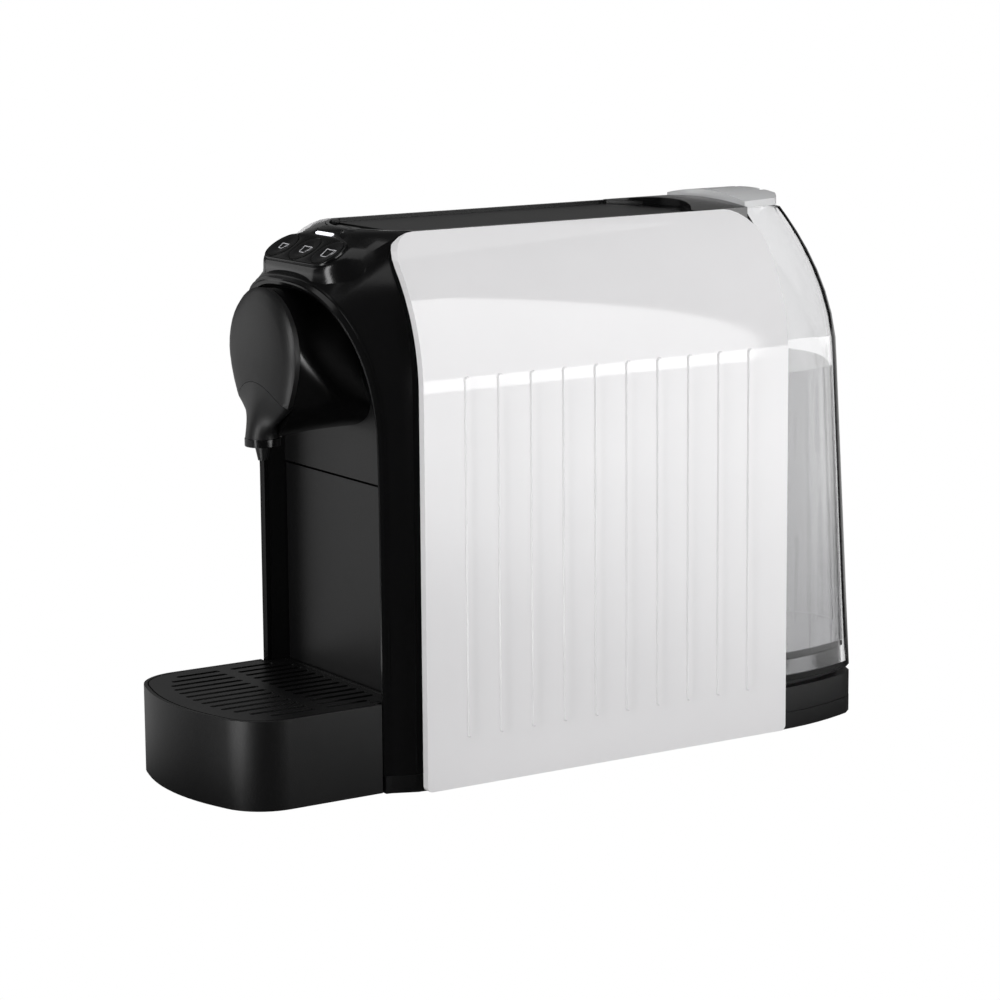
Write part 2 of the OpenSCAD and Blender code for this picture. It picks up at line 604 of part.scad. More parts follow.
module spout_nozzle() color(black) translate([0, spout_y, 0]) difference() {
    union() {
        translate([0, 0, spout_z - 0.2]) cylinder(r = 3.95, h = 4.5);
        translate([0, 0, spout_z + 4.2]) cylinder(r = nozzle_head_r, h = 8);
        translate([0, 0, spout_z - nozzle_l]) cylinder(r1 = 2.2, r2 = 3.6, h = nozzle_l);
    }
    translate([0, 0, spout_z - nozzle_l - 1]) cylinder(r = 1.3, h = 24);
}

// ---- buttons ----------------------------------------------------------------------------

fascia_t = 3;
// top of the switches below the buttons
switch_z = -fascia_t - 1.6 - button_travel;
module fascia_frame() translate([0, button_y, button_z]) rotate([fascia_tilt, 0, 0]) children();
module fascia_shape(grow) offset(r = grow) offset(r = -1.5) offset(delta = 1.5) union() {
    for (x = [-button_pitch, 0, button_pitch]) translate([x, 0]) circle(r = button_r + 1.4);
    translate([-9.4, -2]) square([18.8, 17.6]);
    translate([-button_pitch, -3]) square([2 * button_pitch, 7]);
}

module button_fascia() color(black) fascia_frame() difference() {
    union() {
        translate([0, 0, -fascia_t]) linear_extrude(fascia_t) fascia_shape(0);
        for (x = [-8, 8]) translate([x - 0.8, 7.5, switch_z - 2]) cube([1.6, 1.6, 5 + button_travel + 1]);
    }
    for (x = [-button_pitch, 0, button_pitch]) translate([x, 0, -5]) cylinder(r = button_r + button_gap, h = 9);
    light_shape(0.1, 9);
}

module light_shape(grow, deep) translate([0, 12, -deep]) linear_extrude(deep + 0.4) hull() {
    translate([-6.7, 0]) circle(r = 0.8 + grow);
    translate([6.7, 0]) circle(r = 0.8 + grow);
}
module light_bar() color("white") fascia_frame() light_shape(0, fascia_t);

module button_at(x) color(satin_black) fascia_frame() translate([x, 0, 0]) difference() {
    union() {
        translate([0, 0, -fascia_t - 1.2]) cylinder(r = button_r, h = fascia_t + 1.5);
        translate([0, 0, -fascia_t - 1.3]) cylinder(r = button_r + 1.1, h = 1.1);
    }
    translate([0, 0, 25.6]) sphere(r = 26, $fn = 96);
}
module button_left() button_at(-button_pitch);
module button_middle() button_at(0);
module button_right() button_at(button_pitch);

module button_board() color("darkgreen") fascia_frame() difference() {
    union() {
        translate([-button_pitch - 4, -5, switch_z - 3.4]) cube([2 * button_pitch + 8, 14.5, 1.4]);
        for (x = [-button_pitch, 0, button_pitch]) translate([x - 2, -2, switch_z - 2.1]) cube([4, 4, 2.1]);
    }
}

// ---- brewing unit -----------------------------------------------------------------------

frame_x = 30;
frame_y = [-82, 8];
holder_l = 23;
rest_y = holder_y - 6;
shelf_top = shelf_z[1] + 0.1;

module brew_frame() color([0.2, 0.2, 0.22]) difference() {
    union() {
        both() box([frame_x, frame_y[0], shelf_top], [frame_x + 3, frame_y[1], brew_z + 30]);
        both() box([frame_x, frame_y[0], shelf_top], [46, frame_y[1], shelf_top + 3]);
        box([-frame_x - 1, frame_y[1] - 12, brew_z - 26], [frame_x + 1, frame_y[1] - 4, brew_z + 26]);
    }
    rod([0, frame_y[1] - 20, brew_z], rod_r + run_gap, 30, "y");
}

// Cup that a capsule sits in while coffee is brewed
module capsule_holder() color([0.25, 0.25, 0.27]) difference() {
    union() {
        rod([0, holder_y - holder_l, brew_z], 25, holder_l, "y");
        box([-frame_x, holder_y - holder_l + 3, brew_z - 10], [frame_x, holder_y - 5, brew_z + 10]);
    }
    rod([0, holder_y - holder_l + 4, brew_z], piston_r + 0.45, 60, "y");
    rod([0, holder_y - holder_l - 1, outlet_z], 2.55, 20, "y");
}

module brew_piston() color([0.4, 0.4, 0.42]) difference() {
    union() {
        rod([0, rest_y, brew_z], piston_r, 8, "y");
        rod([0, rest_y + 7, brew_z], rod_r, frame_y[1] + 2 - rest_y - 7, "y");
    }
    // groove of the seal
    difference() {
        rod([0, rest_y + 3, brew_z], piston_r + 1, 2.4, "y");
        rod([0, rest_y + 2, brew_z], piston_r - 1.6, 5, "y");
    }
    rod([0, rest_y - 1, brew_z], 1.5, 90, "y");
}

module piston_seal() color("firebrick") difference() {
    rod([0, rest_y + 3.05, brew_z], piston_r + 0.35, 2.3, "y");
    rod([0, rest_y + 2, brew_z], piston_r - 1.6, 5, "y");
}

// Pipe from the capsule holder through the bay's wall to the spout
module brew_outlet() color(steel) difference() {
    union() {
        rod([0, spout_y + 8.8, outlet_z], 2.5, holder_y - holder_l + 3.8 - spout_y - 8.8, "y");
        rod([0, holder_y - holder_l - 2.6, outlet_z], 4.6, 2.5, "y");
    }
    rod([0, spout_y + 11, outlet_z], 1.5, 80, "y");
}

heater = [[-34, 34, shelf_top], [34, 84, shelf_top + 38]];
module thermoblock() color([0.6, 0.6, 0.62]) difference() {
    union() {
        box(heater[0], heater[1]);
        for (i = [0:4]) box([heater[0][0] - 2, heater[0][1] + 4 + 9 * i, shelf_top + 6],
            [heater[1][0] + 2, heater[0][1] + 8 + 9 * i, shelf_top + 33]);
        rod([0, heater[0][1] - 8, brew_z - 20], 3.4, 9, "y");
        rod([heater[1][0] - 1, 60, shelf_top + 16], 3.4, 9, "x");
    }
    rod([0, heater[0][1] - 9, brew_z - 20], 1.6, 30, "y");
    rod([8, 60, shelf_top + 16], 1.6, 40, "x");
}

module thermostat() color("ivory") {
    rod([-20, 62, heater[1][2]], 9, 3);
    rod([-20, 62, heater[1][2] + 2.9], 6, 4);
}

pump_at = [-26, 10, 40];
module pump() color([0.3, 0.3, 0.32]) {
    rod(pump_at, pump_r, 56, "y");
    rod(pump_at + [0, 55, 0], 9, 14, "y");
    rod(pump_at + [0, 68, 0], 3, 10, "y");
    rod(pump_at + [0, -14, 0], 8, 15, "y");
    rod(pump_at + [0, -22, 0], 3, 9, "y");
}

module pump_mounts() color("dimgray") for (y = [16, 54]) translate([0, pump_at[1] + y - 12, 0]) difference() {
    box([pump_at[0] - 22, 0, base_z0 + base_floor], [pump_at[0] + 22, 8, pump_at[2] + 2]);
    rod([pump_at[0], -1, pump_at[2]], pump_r + 0.02, 10, "y");
}

meter_at = [26, 70, base_z0 + base_floor];
module flow_meter() color([0.85, 0.85, 0.8]) {
    rod(meter_at, 13, 20);
    rod(meter_at + [0, 12, 11.5], 3, 9, "y");
    rod(meter_at + [-20, 0, 15], 3, 9, "x");
}

// Hoses end a hair short of their fittings
hose_gap = 0.25;
module suction_hose() color("gainsboro") hose([[0, tank_y0 + 3, 15], [0, tank_y0 - 1, 15],
    [0, tank_y0 - 6, 15], [5, 99.5, 15], [14, 98, 15], [23, 98, 15], [26, 95.5, 15], [26, 93.4, 15],
    [26, meter_at[1] + 21 + hose_gap, 15]], hose_r);
module meter_hose() color("gainsboro") hose([[6 - hose_gap, 70, 18.5], [4, 70, 18.5], [2, 70, 18.5],
    [-6, 75, 20], [-16, 90, 28], [-25, 99, 37], [-26, 95.5, 39.8], [-26, 92.5, 40], [-26, 90.5, 40],
    [-26, pump_at[1] + 78 + hose_gap, 40]], hose_r);
module pressure_hose() color("gainsboro") hose([[-26, pump_at[1] - 22 - hose_gap, 40],
    [-26, -14, 40], [-25, -16, 40.6], [-19, -17, 43], [-8, -16, 50], [10, -8, 62], [30, 6, 90], [38, 18, 120],
    [44, 19, 140], [50, 32, 153], [55, 50, 158], [50, 59, 158.1], [42 + hose_gap, 60, 158.1]], hose_r, 4);
module brew_hose() color("gainsboro") hose([[0, 26 - hose_gap, brew_z - 20], [0, 24, brew_z - 20],
    [0, 22, brew_z - 20], [6, 15, brew_z - 17], [14, 10, brew_z - 13], [15, 7, brew_z - 12],
    [15, frame_y[1] - 4 + hose_gap, brew_z - 12]], hose_r);

module main_board() color("darkgreen") {
    box([48.2, 26, 46], [49.9, 92, 126]);
    box([40, 60, 70], [48.3, 84, 96]);
    rod([36, 40, 104], 6, 12.3, "x");
}

// ---- tray, grate and capsule bin ---------------------------------------------------------

tray_back = bay_y - 1.2;
// distance from the front's middle to the crossing of its two slopes
tray_bow = 5.18;
bin_seam = bay_seam_z - 1;
// Plan of the tray, set in by inset; narrow where it enters the arch
function tray_plan(inset) = rounded([[-tray_half + inset, arch_y - 1 - inset, 0],
    [-tray_half + inset, tray_front + 12 + inset * 0.7, tray_corner_r - inset],
    [0, tray_front - tray_bow + inset, 110 - inset], [tray_half - inset, tray_front + 12 + inset * 0.7,
    tray_corner_r - inset], [tray_half - inset, arch_y - 1 - inset, 0]], 10);
module tray_shape(inset, front_half, back) {
    polygon(tray_plan(inset));
    translate([-front_half, arch_y - 9]) square([2 * front_half, back - arch_y + 9]);
}

module drip_tray() color(satin_black) difference() {
    translate([0, 0, tray_z0]) linear_extrude(tray_rim_z - tray_z0) tray_shape(0, tray_inner, tray_back);
    translate([0, 0, tray_z0 + 2.4]) linear_extrude(60)
        tray_shape(tray_wall + 1.2, tray_inner - tray_wall - 1.2, tray_back - tray_wall);
    // ledge of the grate
    translate([0, 0, tray_rim_z - grate_t - 0.1]) linear_extrude(60)
        tray_shape(tray_wall - 0.4, tray_inner - tray_wall + 0.4, tray_back - tray_wall + 0.6);
}

function slot_front(x) = tray_front + 11.6 + 0.0032 * x * x + 0.0000022 * pow(x, 4);
slot_split = [-133.5, -127.7];
slot_back = [-98, -103.7];
module drip_grate() color([0.09, 0.09, 0.1]) translate([0, 0, tray_rim_z - grate_t])
    linear_extrude(grate_t) difference() {
        tray_shape(tray_wall - 0.4 + lift_gap, tray_inner - tray_wall + 0.4 - lift_gap,
            tray_back - tray_wall + 0.6 - lift_gap);
        for (i = [-(slot_count - 1) / 2:(slot_count - 1) / 2]) let (x = i * slot_pitch) {
            slot(x, slot_front(x), slot_split[0]);
            slot(x, slot_split[1],
                abs(x) > 44 ? slot_back[1] - 1.5 : abs(x) > 40 ? slot_back[1] : slot_back[0]);
        }
    }
module slot(x, y0, y1) translate([x, 0]) {
    for (y = [y0 + slot_w / 2, y1 - slot_w / 2]) translate([0, y]) circle(r = slot_w / 2);
    translate([-slot_w / 2, y0 + slot_w / 2]) square([slot_w, y1 - y0 - slot_w]);
}

// Removable wall below the seam, carried by the tray
module bin_front() color(black) difference() {
    union() {
        box([-tray_inner, bay_y, base_z0 + base_floor + 0.5], [tray_inner, bay_y + 2.2, bin_seam]);
        box([-tray_inner, bay_y, base_z0 + base_floor + 0.5], [-tray_inner + 2.2, bay_y + 8, bin_seam]);
        box([tray_inner - 2.2, bay_y, base_z0 + base_floor + 0.5], [tray_inner, bay_y + 8, bin_seam]);
        // hooks that hold the tray
        both() box([30, tray_back, 24], [38, bay_y + 0.1, 30]);
    }
}

bin_wall = 2;
module capsule_bin() color([0.12, 0.12, 0.13]) difference() {
    box([-bin_half, bay_y + 2.2, base_z0 + base_floor + 0.1], [bin_half, carriage_y1, bin_seam - 3]);
    box([-bin_half + bin_wall, bay_y + 2.2 + bin_wall, base_z0 + base_floor + 2.1],
        [bin_half - bin_wall, carriage_y1 - bin_wall, 200]);
}

// ---- water tank -------------------------------------------------------------------------

valve_at = [0, 128];
pad_z = tank_z0 - 0.1;
module tank_seat() color(satin_black) difference() {
    union() {
        translate([0, 0, base_z1 + 0.2]) linear_extrude(seat_z1 - base_z1 - 0.2)
            polygon(rear_outline(tank_y0 - 0.4, 0, rear_half, base_corner[0], base_corner[1], rear_y - 0.4));
        translate([0, 0, seat_z1 - 1]) linear_extrude(pad_z - seat_z1 + 1)
            polygon(rear_outline(tank_y0 + 2, 5, rear_half, base_corner[0], base_corner[1], rear_y - 1));
    }
    translate([valve_at[0], valve_at[1], 12]) cylinder(r = 9.6, h = 30);
    translate([0, 0, 15]) rod([0, tank_y0 - 3, 0], hose_r + 0.3, 6.5, "y");
    rod([0, tank_y0 + 3, 15], 1.6, 12, "y");
}

module seat_gasket() color("dimgray") translate([valve_at[0], valve_at[1], 12.05]) difference() {
    cylinder(r = 9.4, h = 3);
    translate([0, 0, -1]) cylinder(r = 5, h = 6);
}

// Plan of the tank at height z, set in by inset; the back leans in, and more so above the bend
tank_bend_z = shoulder_z - 7;
function upper(z) = pow(max(0, z - tank_bend_z), 2);
function lower(z) = min(z, tank_bend_z) - tank_z0;
function tank_section(z, inset, dz) = [for (p = rear_outline(tank_y0, inset,
        min(rear_half - 0.2, half_at(z, skin_off + 0.2)), base_corner[0] - 0.0035 * upper(z),
        base_corner[1] - 0.066 * lower(z) - 0.0033 * upper(z),
        rear_y - 0.3 - 0.063 * lower(z) - 0.0057 * upper(z)))
    [p[0], max(p[1], tank_y0 + inset), z + dz]];
tank_foot_z = tank_z0 + 14;
tank_levels = concat([tank_z0, tank_foot_z, mix(tank_foot_z, tank_bend_z, 0.6)],
    [for (i = [0:8]) mix(tank_bend_z, tank_z1, 1 - pow(1 - i / 8, 1.3))]);

module water_tank() color([0.8, 0.85, 0.9, 0.4]) difference() {
    union() {
        skin([for (z = tank_levels) tank_section(z, 0, 0)]);
        // lugs of the lid
        both() difference() {
            rod([8.4, lid_axis[0], lid_axis[1]], 2, 3, "x");
        }
        both() box([8.4, lid_axis[0] - 2, tank_z1 - 3], [11.4, lid_axis[0] + 2, lid_axis[1]]);
    }
    skin([for (z = tank_levels) tank_section(z, tank_wall, z == tank_z0 ? 2.6 : z == tank_z1 ? 0.5 : 0)]);
    translate([valve_at[0], valve_at[1], tank_z0 - 1]) cylinder(r = 7, h = 6);
    both() rod([7, lid_axis[0], lid_axis[1]], lid_pin_r + 0.02, 6, "x");
}

lid_axis = [lid_y1, deck_z + 1.5];
lid_half = deck_half - 6;
lid_z0 = tank_z1 + 0.3;
function lid_plan(inset) = [[-lid_half + inset, lid_y0 + inset], [lid_half - inset, lid_y0 + inset],
    [lid_half - 2.5 - inset, 133.5 - inset], [26 - inset, 136.6 - inset], [20 - inset, lid_y1 - inset],
    [-20 + inset, lid_y1 - inset], [-26 + inset, 136.6 - inset], [-lid_half + 2.5 + inset, 133.5 - inset]];
module lid_crescent(drop) along_y(lid_y0 - 5, lid_y1 + 5) polygon(concat([[lid_half, lid_z0 - 5]],
    [for (i = [0:12]) let (x = mix(lid_half, -lid_half, i / 12))
        [x, deck_z + 2.2 + lid_crown * (1 - pow(x / lid_half, 2)) - drop]], [[-lid_half, lid_z0 - 5]]));

module tank_lid() color([0.2, 0.2, 0.22]) difference() {
    union() {
        intersection() {
            translate([0, 0, lid_z0]) linear_extrude(20) polygon(lid_plan(0));
            lid_crescent(0);
        }
        rod([-8, lid_axis[0], lid_axis[1]], 1.9, 16, "x");
    }
    intersection() {
        translate([0, 0, lid_z0 - 5]) linear_extrude(20) polygon(lid_plan(lid_t));
        lid_crescent(lid_t);
    }
    both() box([8, lid_axis[0] - 2.6, lid_axis[1] - 12], [11.8, lid_axis[0] + 20, lid_axis[1] + 10]);
    both() rod([4, lid_axis[0], lid_axis[1]], lid_pin_r + run_gap, 6, "x");
}

module lid_pins() color(steel) both() rod([4.2, lid_axis[0], lid_axis[1]], lid_pin_r, 7.4, "x");

module tank_valve() color([0.85, 0.85, 0.85]) translate([valve_at[0], valve_at[1], 0]) difference() {
    union() {
        translate([0, 0, 17]) cylinder(r = 6.95, h = tank_z0 - 17 + 2.6);
        translate([0, 0, tank_z0 + 2.6]) cylinder(r = 9, h = 2);
    }
    translate([0, 0, 18.6]) cylinder(r = 5, h = 30);
    translate([0, 0, 16]) cylinder(r = 2.2, h = 5);
}

module valve_spring() color(steel) translate([valve_at[0], valve_at[1], 18.6])
    hose([for (i = [0:32]) let (a = i * 45) [4.1 * cos(a), 4.1 * sin(a), 0.6 + i * 0.2]], 0.55, 1, 6);

module tank_filter() color("whitesmoke") translate([valve_at[0], valve_at[1], tank_z0 + 4.6]) difference() {
    cylinder(r = 8.6, h = 12);
    translate([0, 0, -1]) cylinder(r = 7.4, h = 11.4);
    for (a = [0:30:330]) rotate([0, 0, a]) translate([5, -0.8, 2]) cube([6, 1.6, 6]);
}

// ---- side panels ------------------------------------------------------------------------

module panel_edge() polygon(rounded([[panel_y0, panel_z0, 2.5], [panel_y1, panel_z0, 2.5],
    [panel_y1, deck_z + 0.01, panel_corner_r], [panel_y0, deck_z + 0.01, panel_corner_r]], 6));

// Right-hand panel: shell cut to its outline, ribs on the outside
module panel() {
    y_mid = (panel_y0 + panel_y1) / 2;
    intersection() {
        along_y(panel_y0, panel_y1) difference() {
            polygon(profile(0, panel_z0, deck_z));
            polygon(profile(panel_t, panel_z0 - 5, deck_z + 4));
            translate([-100, 0]) square([100 + deck_half + seam, 400]);
        }
        along_x(0, 90) panel_edge();
    }
    for (i = [0:rib_count - 1]) let (y = y_mid + (i - (rib_count - 1) / 2) * rib_pitch)
        translate([panel_half - rib_root, y, 0]) hull() {
            translate([0, 0, rib_z0 + rib_w / 2]) rib_end();
            translate([0, 0, rib_z1 - rib_w / 2]) rib_end();
        }
}
rib_root = 0.6;
module rib_end() rotate([0, 90, 0])
    cylinder(r1 = rib_w / 2 + 0.2, r2 = rib_w / 2 - 0.5, h = rib_h + rib_root, $fn = 24);
module side_panel_right() color(white) panel();
module side_panel_left() color(white) mirror([1, 0, 0]) panel();

// Clips that hold the panels to the housing
module panel_clips() color("gray") both() for (y = [-60, 80], z = [70, 150])
    box([body_half + 0.02, y - 5, z - 4], [body_half + panel_stand - 0.02, y + 5, z + 4]);

module cord_gland() color("dimgray") difference() {
    rod([gland[0], gland_y[0] + 0.1, gland[1]], gland_r, gland_y[1] - gland_y[0] - 0.1, "y");
    rod([gland[0], gland_y[0] - 1, gland[1]], 2.2, 60, "y");
}

base_plate();
feet();
base_screws();
housing();
rear_cover();
top_deck();
recess_cup();
rear_deck();
front_cowl();
arch_trim();
bay_liner();
head_body();
head_cap();
head_lower_cover();
spout_ring();
spout_nozzle();
button_fascia();
button_left();
button_middle();
button_right();
light_bar();
button_board();
lever();
lever_pin();
brew_frame();
capsule_holder();
brew_piston();
piston_seal();
brew_outlet();
thermoblock();
thermostat();
pump();
pump_mounts();
flow_meter();
suction_hose();
meter_hose();
pressure_hose();
brew_hose();
main_board();
drip_tray();
drip_grate();
bin_front();
capsule_bin();
tank_seat();
seat_gasket();
water_tank();
tank_lid();
lid_pins();
tank_valve();
valve_spring();
tank_filter();
side_panel_left();
side_panel_right();
panel_clips();
cord_gland();
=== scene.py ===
"""Looks of the pod coffee machine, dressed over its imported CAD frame.

Shapes are written in millimetres in the part's own frame and turned into metres where a mesh
is made. Lights, floor and camera are in metres.
"""
import math

import bpy
from mathutils import Matrix, Vector
from mathutils.bvhtree import BVHTree
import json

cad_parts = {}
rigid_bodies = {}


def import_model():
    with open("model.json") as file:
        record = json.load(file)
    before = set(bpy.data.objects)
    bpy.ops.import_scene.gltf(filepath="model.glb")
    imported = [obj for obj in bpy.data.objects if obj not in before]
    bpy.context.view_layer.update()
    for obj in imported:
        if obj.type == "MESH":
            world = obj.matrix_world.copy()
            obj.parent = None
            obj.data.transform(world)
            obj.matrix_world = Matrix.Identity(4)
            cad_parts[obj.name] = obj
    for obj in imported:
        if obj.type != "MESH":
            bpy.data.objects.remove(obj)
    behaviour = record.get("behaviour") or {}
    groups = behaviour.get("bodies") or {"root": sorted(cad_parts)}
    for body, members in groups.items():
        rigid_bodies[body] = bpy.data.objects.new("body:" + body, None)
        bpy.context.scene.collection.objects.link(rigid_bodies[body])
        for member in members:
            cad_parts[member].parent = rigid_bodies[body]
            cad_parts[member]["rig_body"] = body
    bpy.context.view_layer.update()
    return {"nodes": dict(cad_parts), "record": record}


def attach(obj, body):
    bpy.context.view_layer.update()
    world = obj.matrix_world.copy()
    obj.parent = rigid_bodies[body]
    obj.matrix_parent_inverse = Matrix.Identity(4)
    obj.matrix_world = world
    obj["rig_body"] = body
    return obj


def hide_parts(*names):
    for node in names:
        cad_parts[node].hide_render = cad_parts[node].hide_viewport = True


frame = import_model()
NODES = frame["nodes"]

MM = 0.001
BODY_OF = {name: node["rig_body"] for name, node in NODES.items()}
SLOT = {part["node"]: part["material_slot"] for part in frame["record"]["subparts"]}

# ---- sizes that the pieces below share with the CAD source ---------------------------------

PANEL_HALF = 69.6  # from the middle to the face of a side panel
SHOULDER_R = 89.5  # radius of the panels' shoulders
SHOULDER_Z = 182.0  # height at which the flat side turns into the shoulder
SKIN = 4.3  # from the panel's face in to the body's side

TANK_Y0, TANK_Z0 = 111.2, 24.5  # front face and underside of the tank
TANK_WALL = 2.4
TANK_BEND_Z = 175.0  # the tank's plan draws in faster above this height
TANK_GAP, TANK_BACK_GAP = 0.2, 0.3  # the tank's foot inside the rear base, at its sides and back
REAR_Y = 182.5
REAR_INSET = 0.7
REAR_HALF = PANEL_HALF - SKIN - REAR_INSET
REAR_CORNER = (55, 160)  # corner of the rear base in plan

FASCIA_AT = (0.0, -109.1, 241.6)
FASCIA_TILT = math.radians(31)
BUTTON_PITCH = 20
DISH_Z, DISH_R = 25.6, 26.0  # the ball that dishes a button's top
LIGHT_Y, LIGHT_HALF = 12, 6.7  # the light bar's middle and half length

HEAD_Y = -131.7  # plane that the head's front cover stands on
HEAD_HALF, HEAD_MID_Z, HEAD_LOW_Z = 29.5, 197.0, 156.0
EGG_POWER = 1.6  # of the head's outline below its middle
CAP_MIDDLE_Z = 192  # the cover's outlines shrink towards this height
# scale of each outline, and how far it stands out to the front
CAP_BULGE = [(0.03, -5.3), (0.28, -5.2), (0.55, -4.6), (0.8, -3.4), (0.94, -1.9), (1.0, 0.0)]
SPOUT_Y, SPOUT_R, SPOUT_Z = -132.8, 8.1, 154.6


def mix(a, b, t):
    return a + (b - a) * t


def ease(t):
    """Smooth step from 0 to 1."""
    return t * t * (3 - 2 * t)


def half_at(z, inset):
    """Half width of the shoulder profile at height z, set in from the panel's face."""
    if z <= SHOULDER_Z:
        return PANEL_HALF - inset
    return PANEL_HALF - SHOULDER_R + math.sqrt((SHOULDER_R - inset) ** 2 - (z - SHOULDER_Z) ** 2)


def mirrored(points):
    """The points of an outline's right half, then those of its left half."""
    return points + [(-x, y) for x, y in reversed(points)]


# ---- shader nodes ----------------------------------------------------------------------------


class Shading:
    """A node tree, with short calls for the nodes that this script uses."""

    def __init__(self, tree):
        self.nodes, self.links = tree.nodes, tree.links

    def plug(self, socket, value):
        """Link a socket to another node's output, or set it to a plain value."""
        if isinstance(value, bpy.types.NodeSocket):
            self.links.new(value, socket)
        else:
            socket.default_value = value

    def add(self, kind, **inputs):
        """A new node with its inputs plugged."""
        node = self.nodes.new("ShaderNode" + kind)
        for name, value in inputs.items():
            self.plug(node.inputs[name], value)
        return node

    def noise(self, scale, detail=2.0):
        place = self.add("TexCoord").outputs["Object"]
        return self.add("TexNoise", Vector=place, Scale=scale, Detail=detail).outputs["Fac"]

    def bump(self, height, strength, distance):
        node = self.add("Bump", Height=height, Strength=strength, Distance=distance)
        return node.outputs["Normal"]

    def ramp(self, value, low_at, high_at, low, high, smooth=True):
        """A number that goes from low at low_at to high at high_at, and is level beyond them."""
        node = self.nodes.new("ShaderNodeMapRange")
        node.interpolation_type = "SMOOTHSTEP" if smooth else "LINEAR"
        for name, number in (("Value", value), ("From Min", low_at), ("From Max", high_at),
                             ("To Min", low), ("To Max", high)):
            self.plug(node.inputs[name], number)
        return node.outputs["Result"]

    def spread(self, share, low, high):
        """A number between low and high, for a share from 0 to 1."""
        return self.ramp(share, 0, 1, low, high, smooth=False)

    def math(self, operation, *values):
        node = self.nodes.new("ShaderNodeMath")
        node.operation = operation
        for socket, value in zip(node.inputs, values):
            self.plug(socket, value)
        return node.outputs["Value"]

    def vector(self, operation, a, b):
        """A number from two vectors, such as their distance."""
        node = self.nodes.new("ShaderNodeVectorMath")
        node.operation = operation
        self.plug(node.inputs[0], a)
        self.plug(node.inputs[1], b)
        return node.outputs["Value"]

    def blend(self, factor, a, b, kind="RGBA"):
        """a where the factor is 0, b where it is 1."""
        node = self.nodes.new("ShaderNodeMix")
        node.data_type = kind
        for name, value in (("Factor", factor), ("A", a), ("B", b)):
            self.plug(node.inputs[name], value)
        return node.outputs["Result"]


def new_material(name):
    """A new material with its shading and the inputs of its principled shader."""
    material = bpy.data.materials.new(name)
    material.use_nodes = True
    shading = Shading(material.node_tree)
    return material, shading, shading.nodes["Principled BSDF"].inputs


# ---- materials -------------------------------------------------------------------------------

PLASTIC_IOR, CLEAR_IOR = 1.5, 1.45
UNEVEN_SCALE = 18.0  # of the broad noise in gloss and colour
LIGHTER_BY, LIGHTER_ADD = 1.06, 0.0008  # the lighter end of a plastic's colour
CLEAR_SPREAD = 0.03
GRAIN_DEPTH, RIPPLE_DEPTH = 0.0002, 0.001  # metres


def plastic(name, color, rough, spread=0.04, grain=0.0, grain_size=1500.0):
    """Moulded plastic: slightly uneven gloss and colour, and a fine grain where it is satin."""
    material, shading, surface = new_material(name)
    uneven = shading.noise(UNEVEN_SCALE, detail=3.0)
    lighter = [min(1, c * LIGHTER_BY + LIGHTER_ADD) for c in color]
    shading.plug(surface["IOR"], PLASTIC_IOR)
    shading.plug(surface["Roughness"],
                 shading.spread(uneven, max(0.02, rough - spread), rough + spread))
    shading.plug(surface["Base Color"], shading.blend(uneven, (*color, 1), (*lighter, 1)))
    if grain:
        fine = shading.noise(grain_size)
        shading.plug(surface["Normal"], shading.bump(fine, grain, GRAIN_DEPTH))
    return material


def metal(name, color, rough):
    material = plastic(name, color, rough, grain=0.1, grain_size=900)
    material.node_tree.nodes["Principled BSDF"].inputs["Metallic"].default_value = 1.0
    return material


def clear(name, color, rough, ior=CLEAR_IOR, weight=1.0, ripple=0.0, ripple_size=40.0):
    """Clear plastic or water, with an optional gentle waviness."""
    material, shading, surface = new_material(name)
    uneven = shading.noise(ripple_size)
    shading.plug(surface["Base Color"], (*color, 1))
    shading.plug(surface["Transmission Weight"], weight)
    shading.plug(surface["IOR"], ior)
    shading.plug(surface["Roughness"], shading.spread(uneven, rough, rough + CLEAR_SPREAD))
    if ripple:
        shading.plug(surface["Normal"], shading.bump(uneven, ripple, RIPPLE_DEPTH))
    return material


def glowing(name, color, strength):
    """A lens that glows from inside."""
    material, shading, surface = new_material(name)
    shading.plug(surface["Base Color"], (*color, 1))
    shading.plug(surface["Roughness"], 0.3)
    shading.plug(surface["Emission Color"], (*color, 1))
    shading.plug(surface["Emission Strength"], strength)
    return material


SKIN_AGREEMENT = 0.997  # cosine of the angle from a facet to the arc; ribs' sides are past it
STEEPEST_RISE = 0.99  # keeps the root below real


def panel_white(name):
    """Glossy white plastic that shades a panel's outer skin with the shoulder's true normal.

    The skin is made of facets, and the gloss would show them.
    """
    material = plastic(name, (0.855, 0.848, 0.853), 0.05, spread=0.006)
    shading = Shading(material.node_tree)
    place = shading.add("SeparateXYZ", Vector=shading.add("TexCoord").outputs["Object"])
    over = shading.math("SUBTRACT", place.outputs["Z"], SHOULDER_Z * MM)
    rise = shading.math("DIVIDE", over, SHOULDER_R * MM)
    rise = shading.math("MINIMUM", shading.math("MAXIMUM", rise, 0.0), STEEPEST_RISE)
    run = shading.math("SQRT", shading.math("SUBTRACT", 1.0, shading.math("MULTIPLY", rise, rise)))
    run = shading.math("MULTIPLY", run, shading.math("SIGN", place.outputs["X"]))
    arc_normal = shading.add("CombineXYZ", X=run, Z=rise).outputs["Vector"]
    surface = shading.add("NewGeometry").outputs
    agreement = shading.vector("DOT_PRODUCT", arc_normal, surface["True Normal"])
    on_skin = shading.math("GREATER_THAN", agreement, SKIN_AGREEMENT)
    shading.plug(shading.nodes["Principled BSDF"].inputs["Normal"],
                 shading.blend(on_skin, surface["Normal"], arc_normal, kind="VECTOR"))
    return material


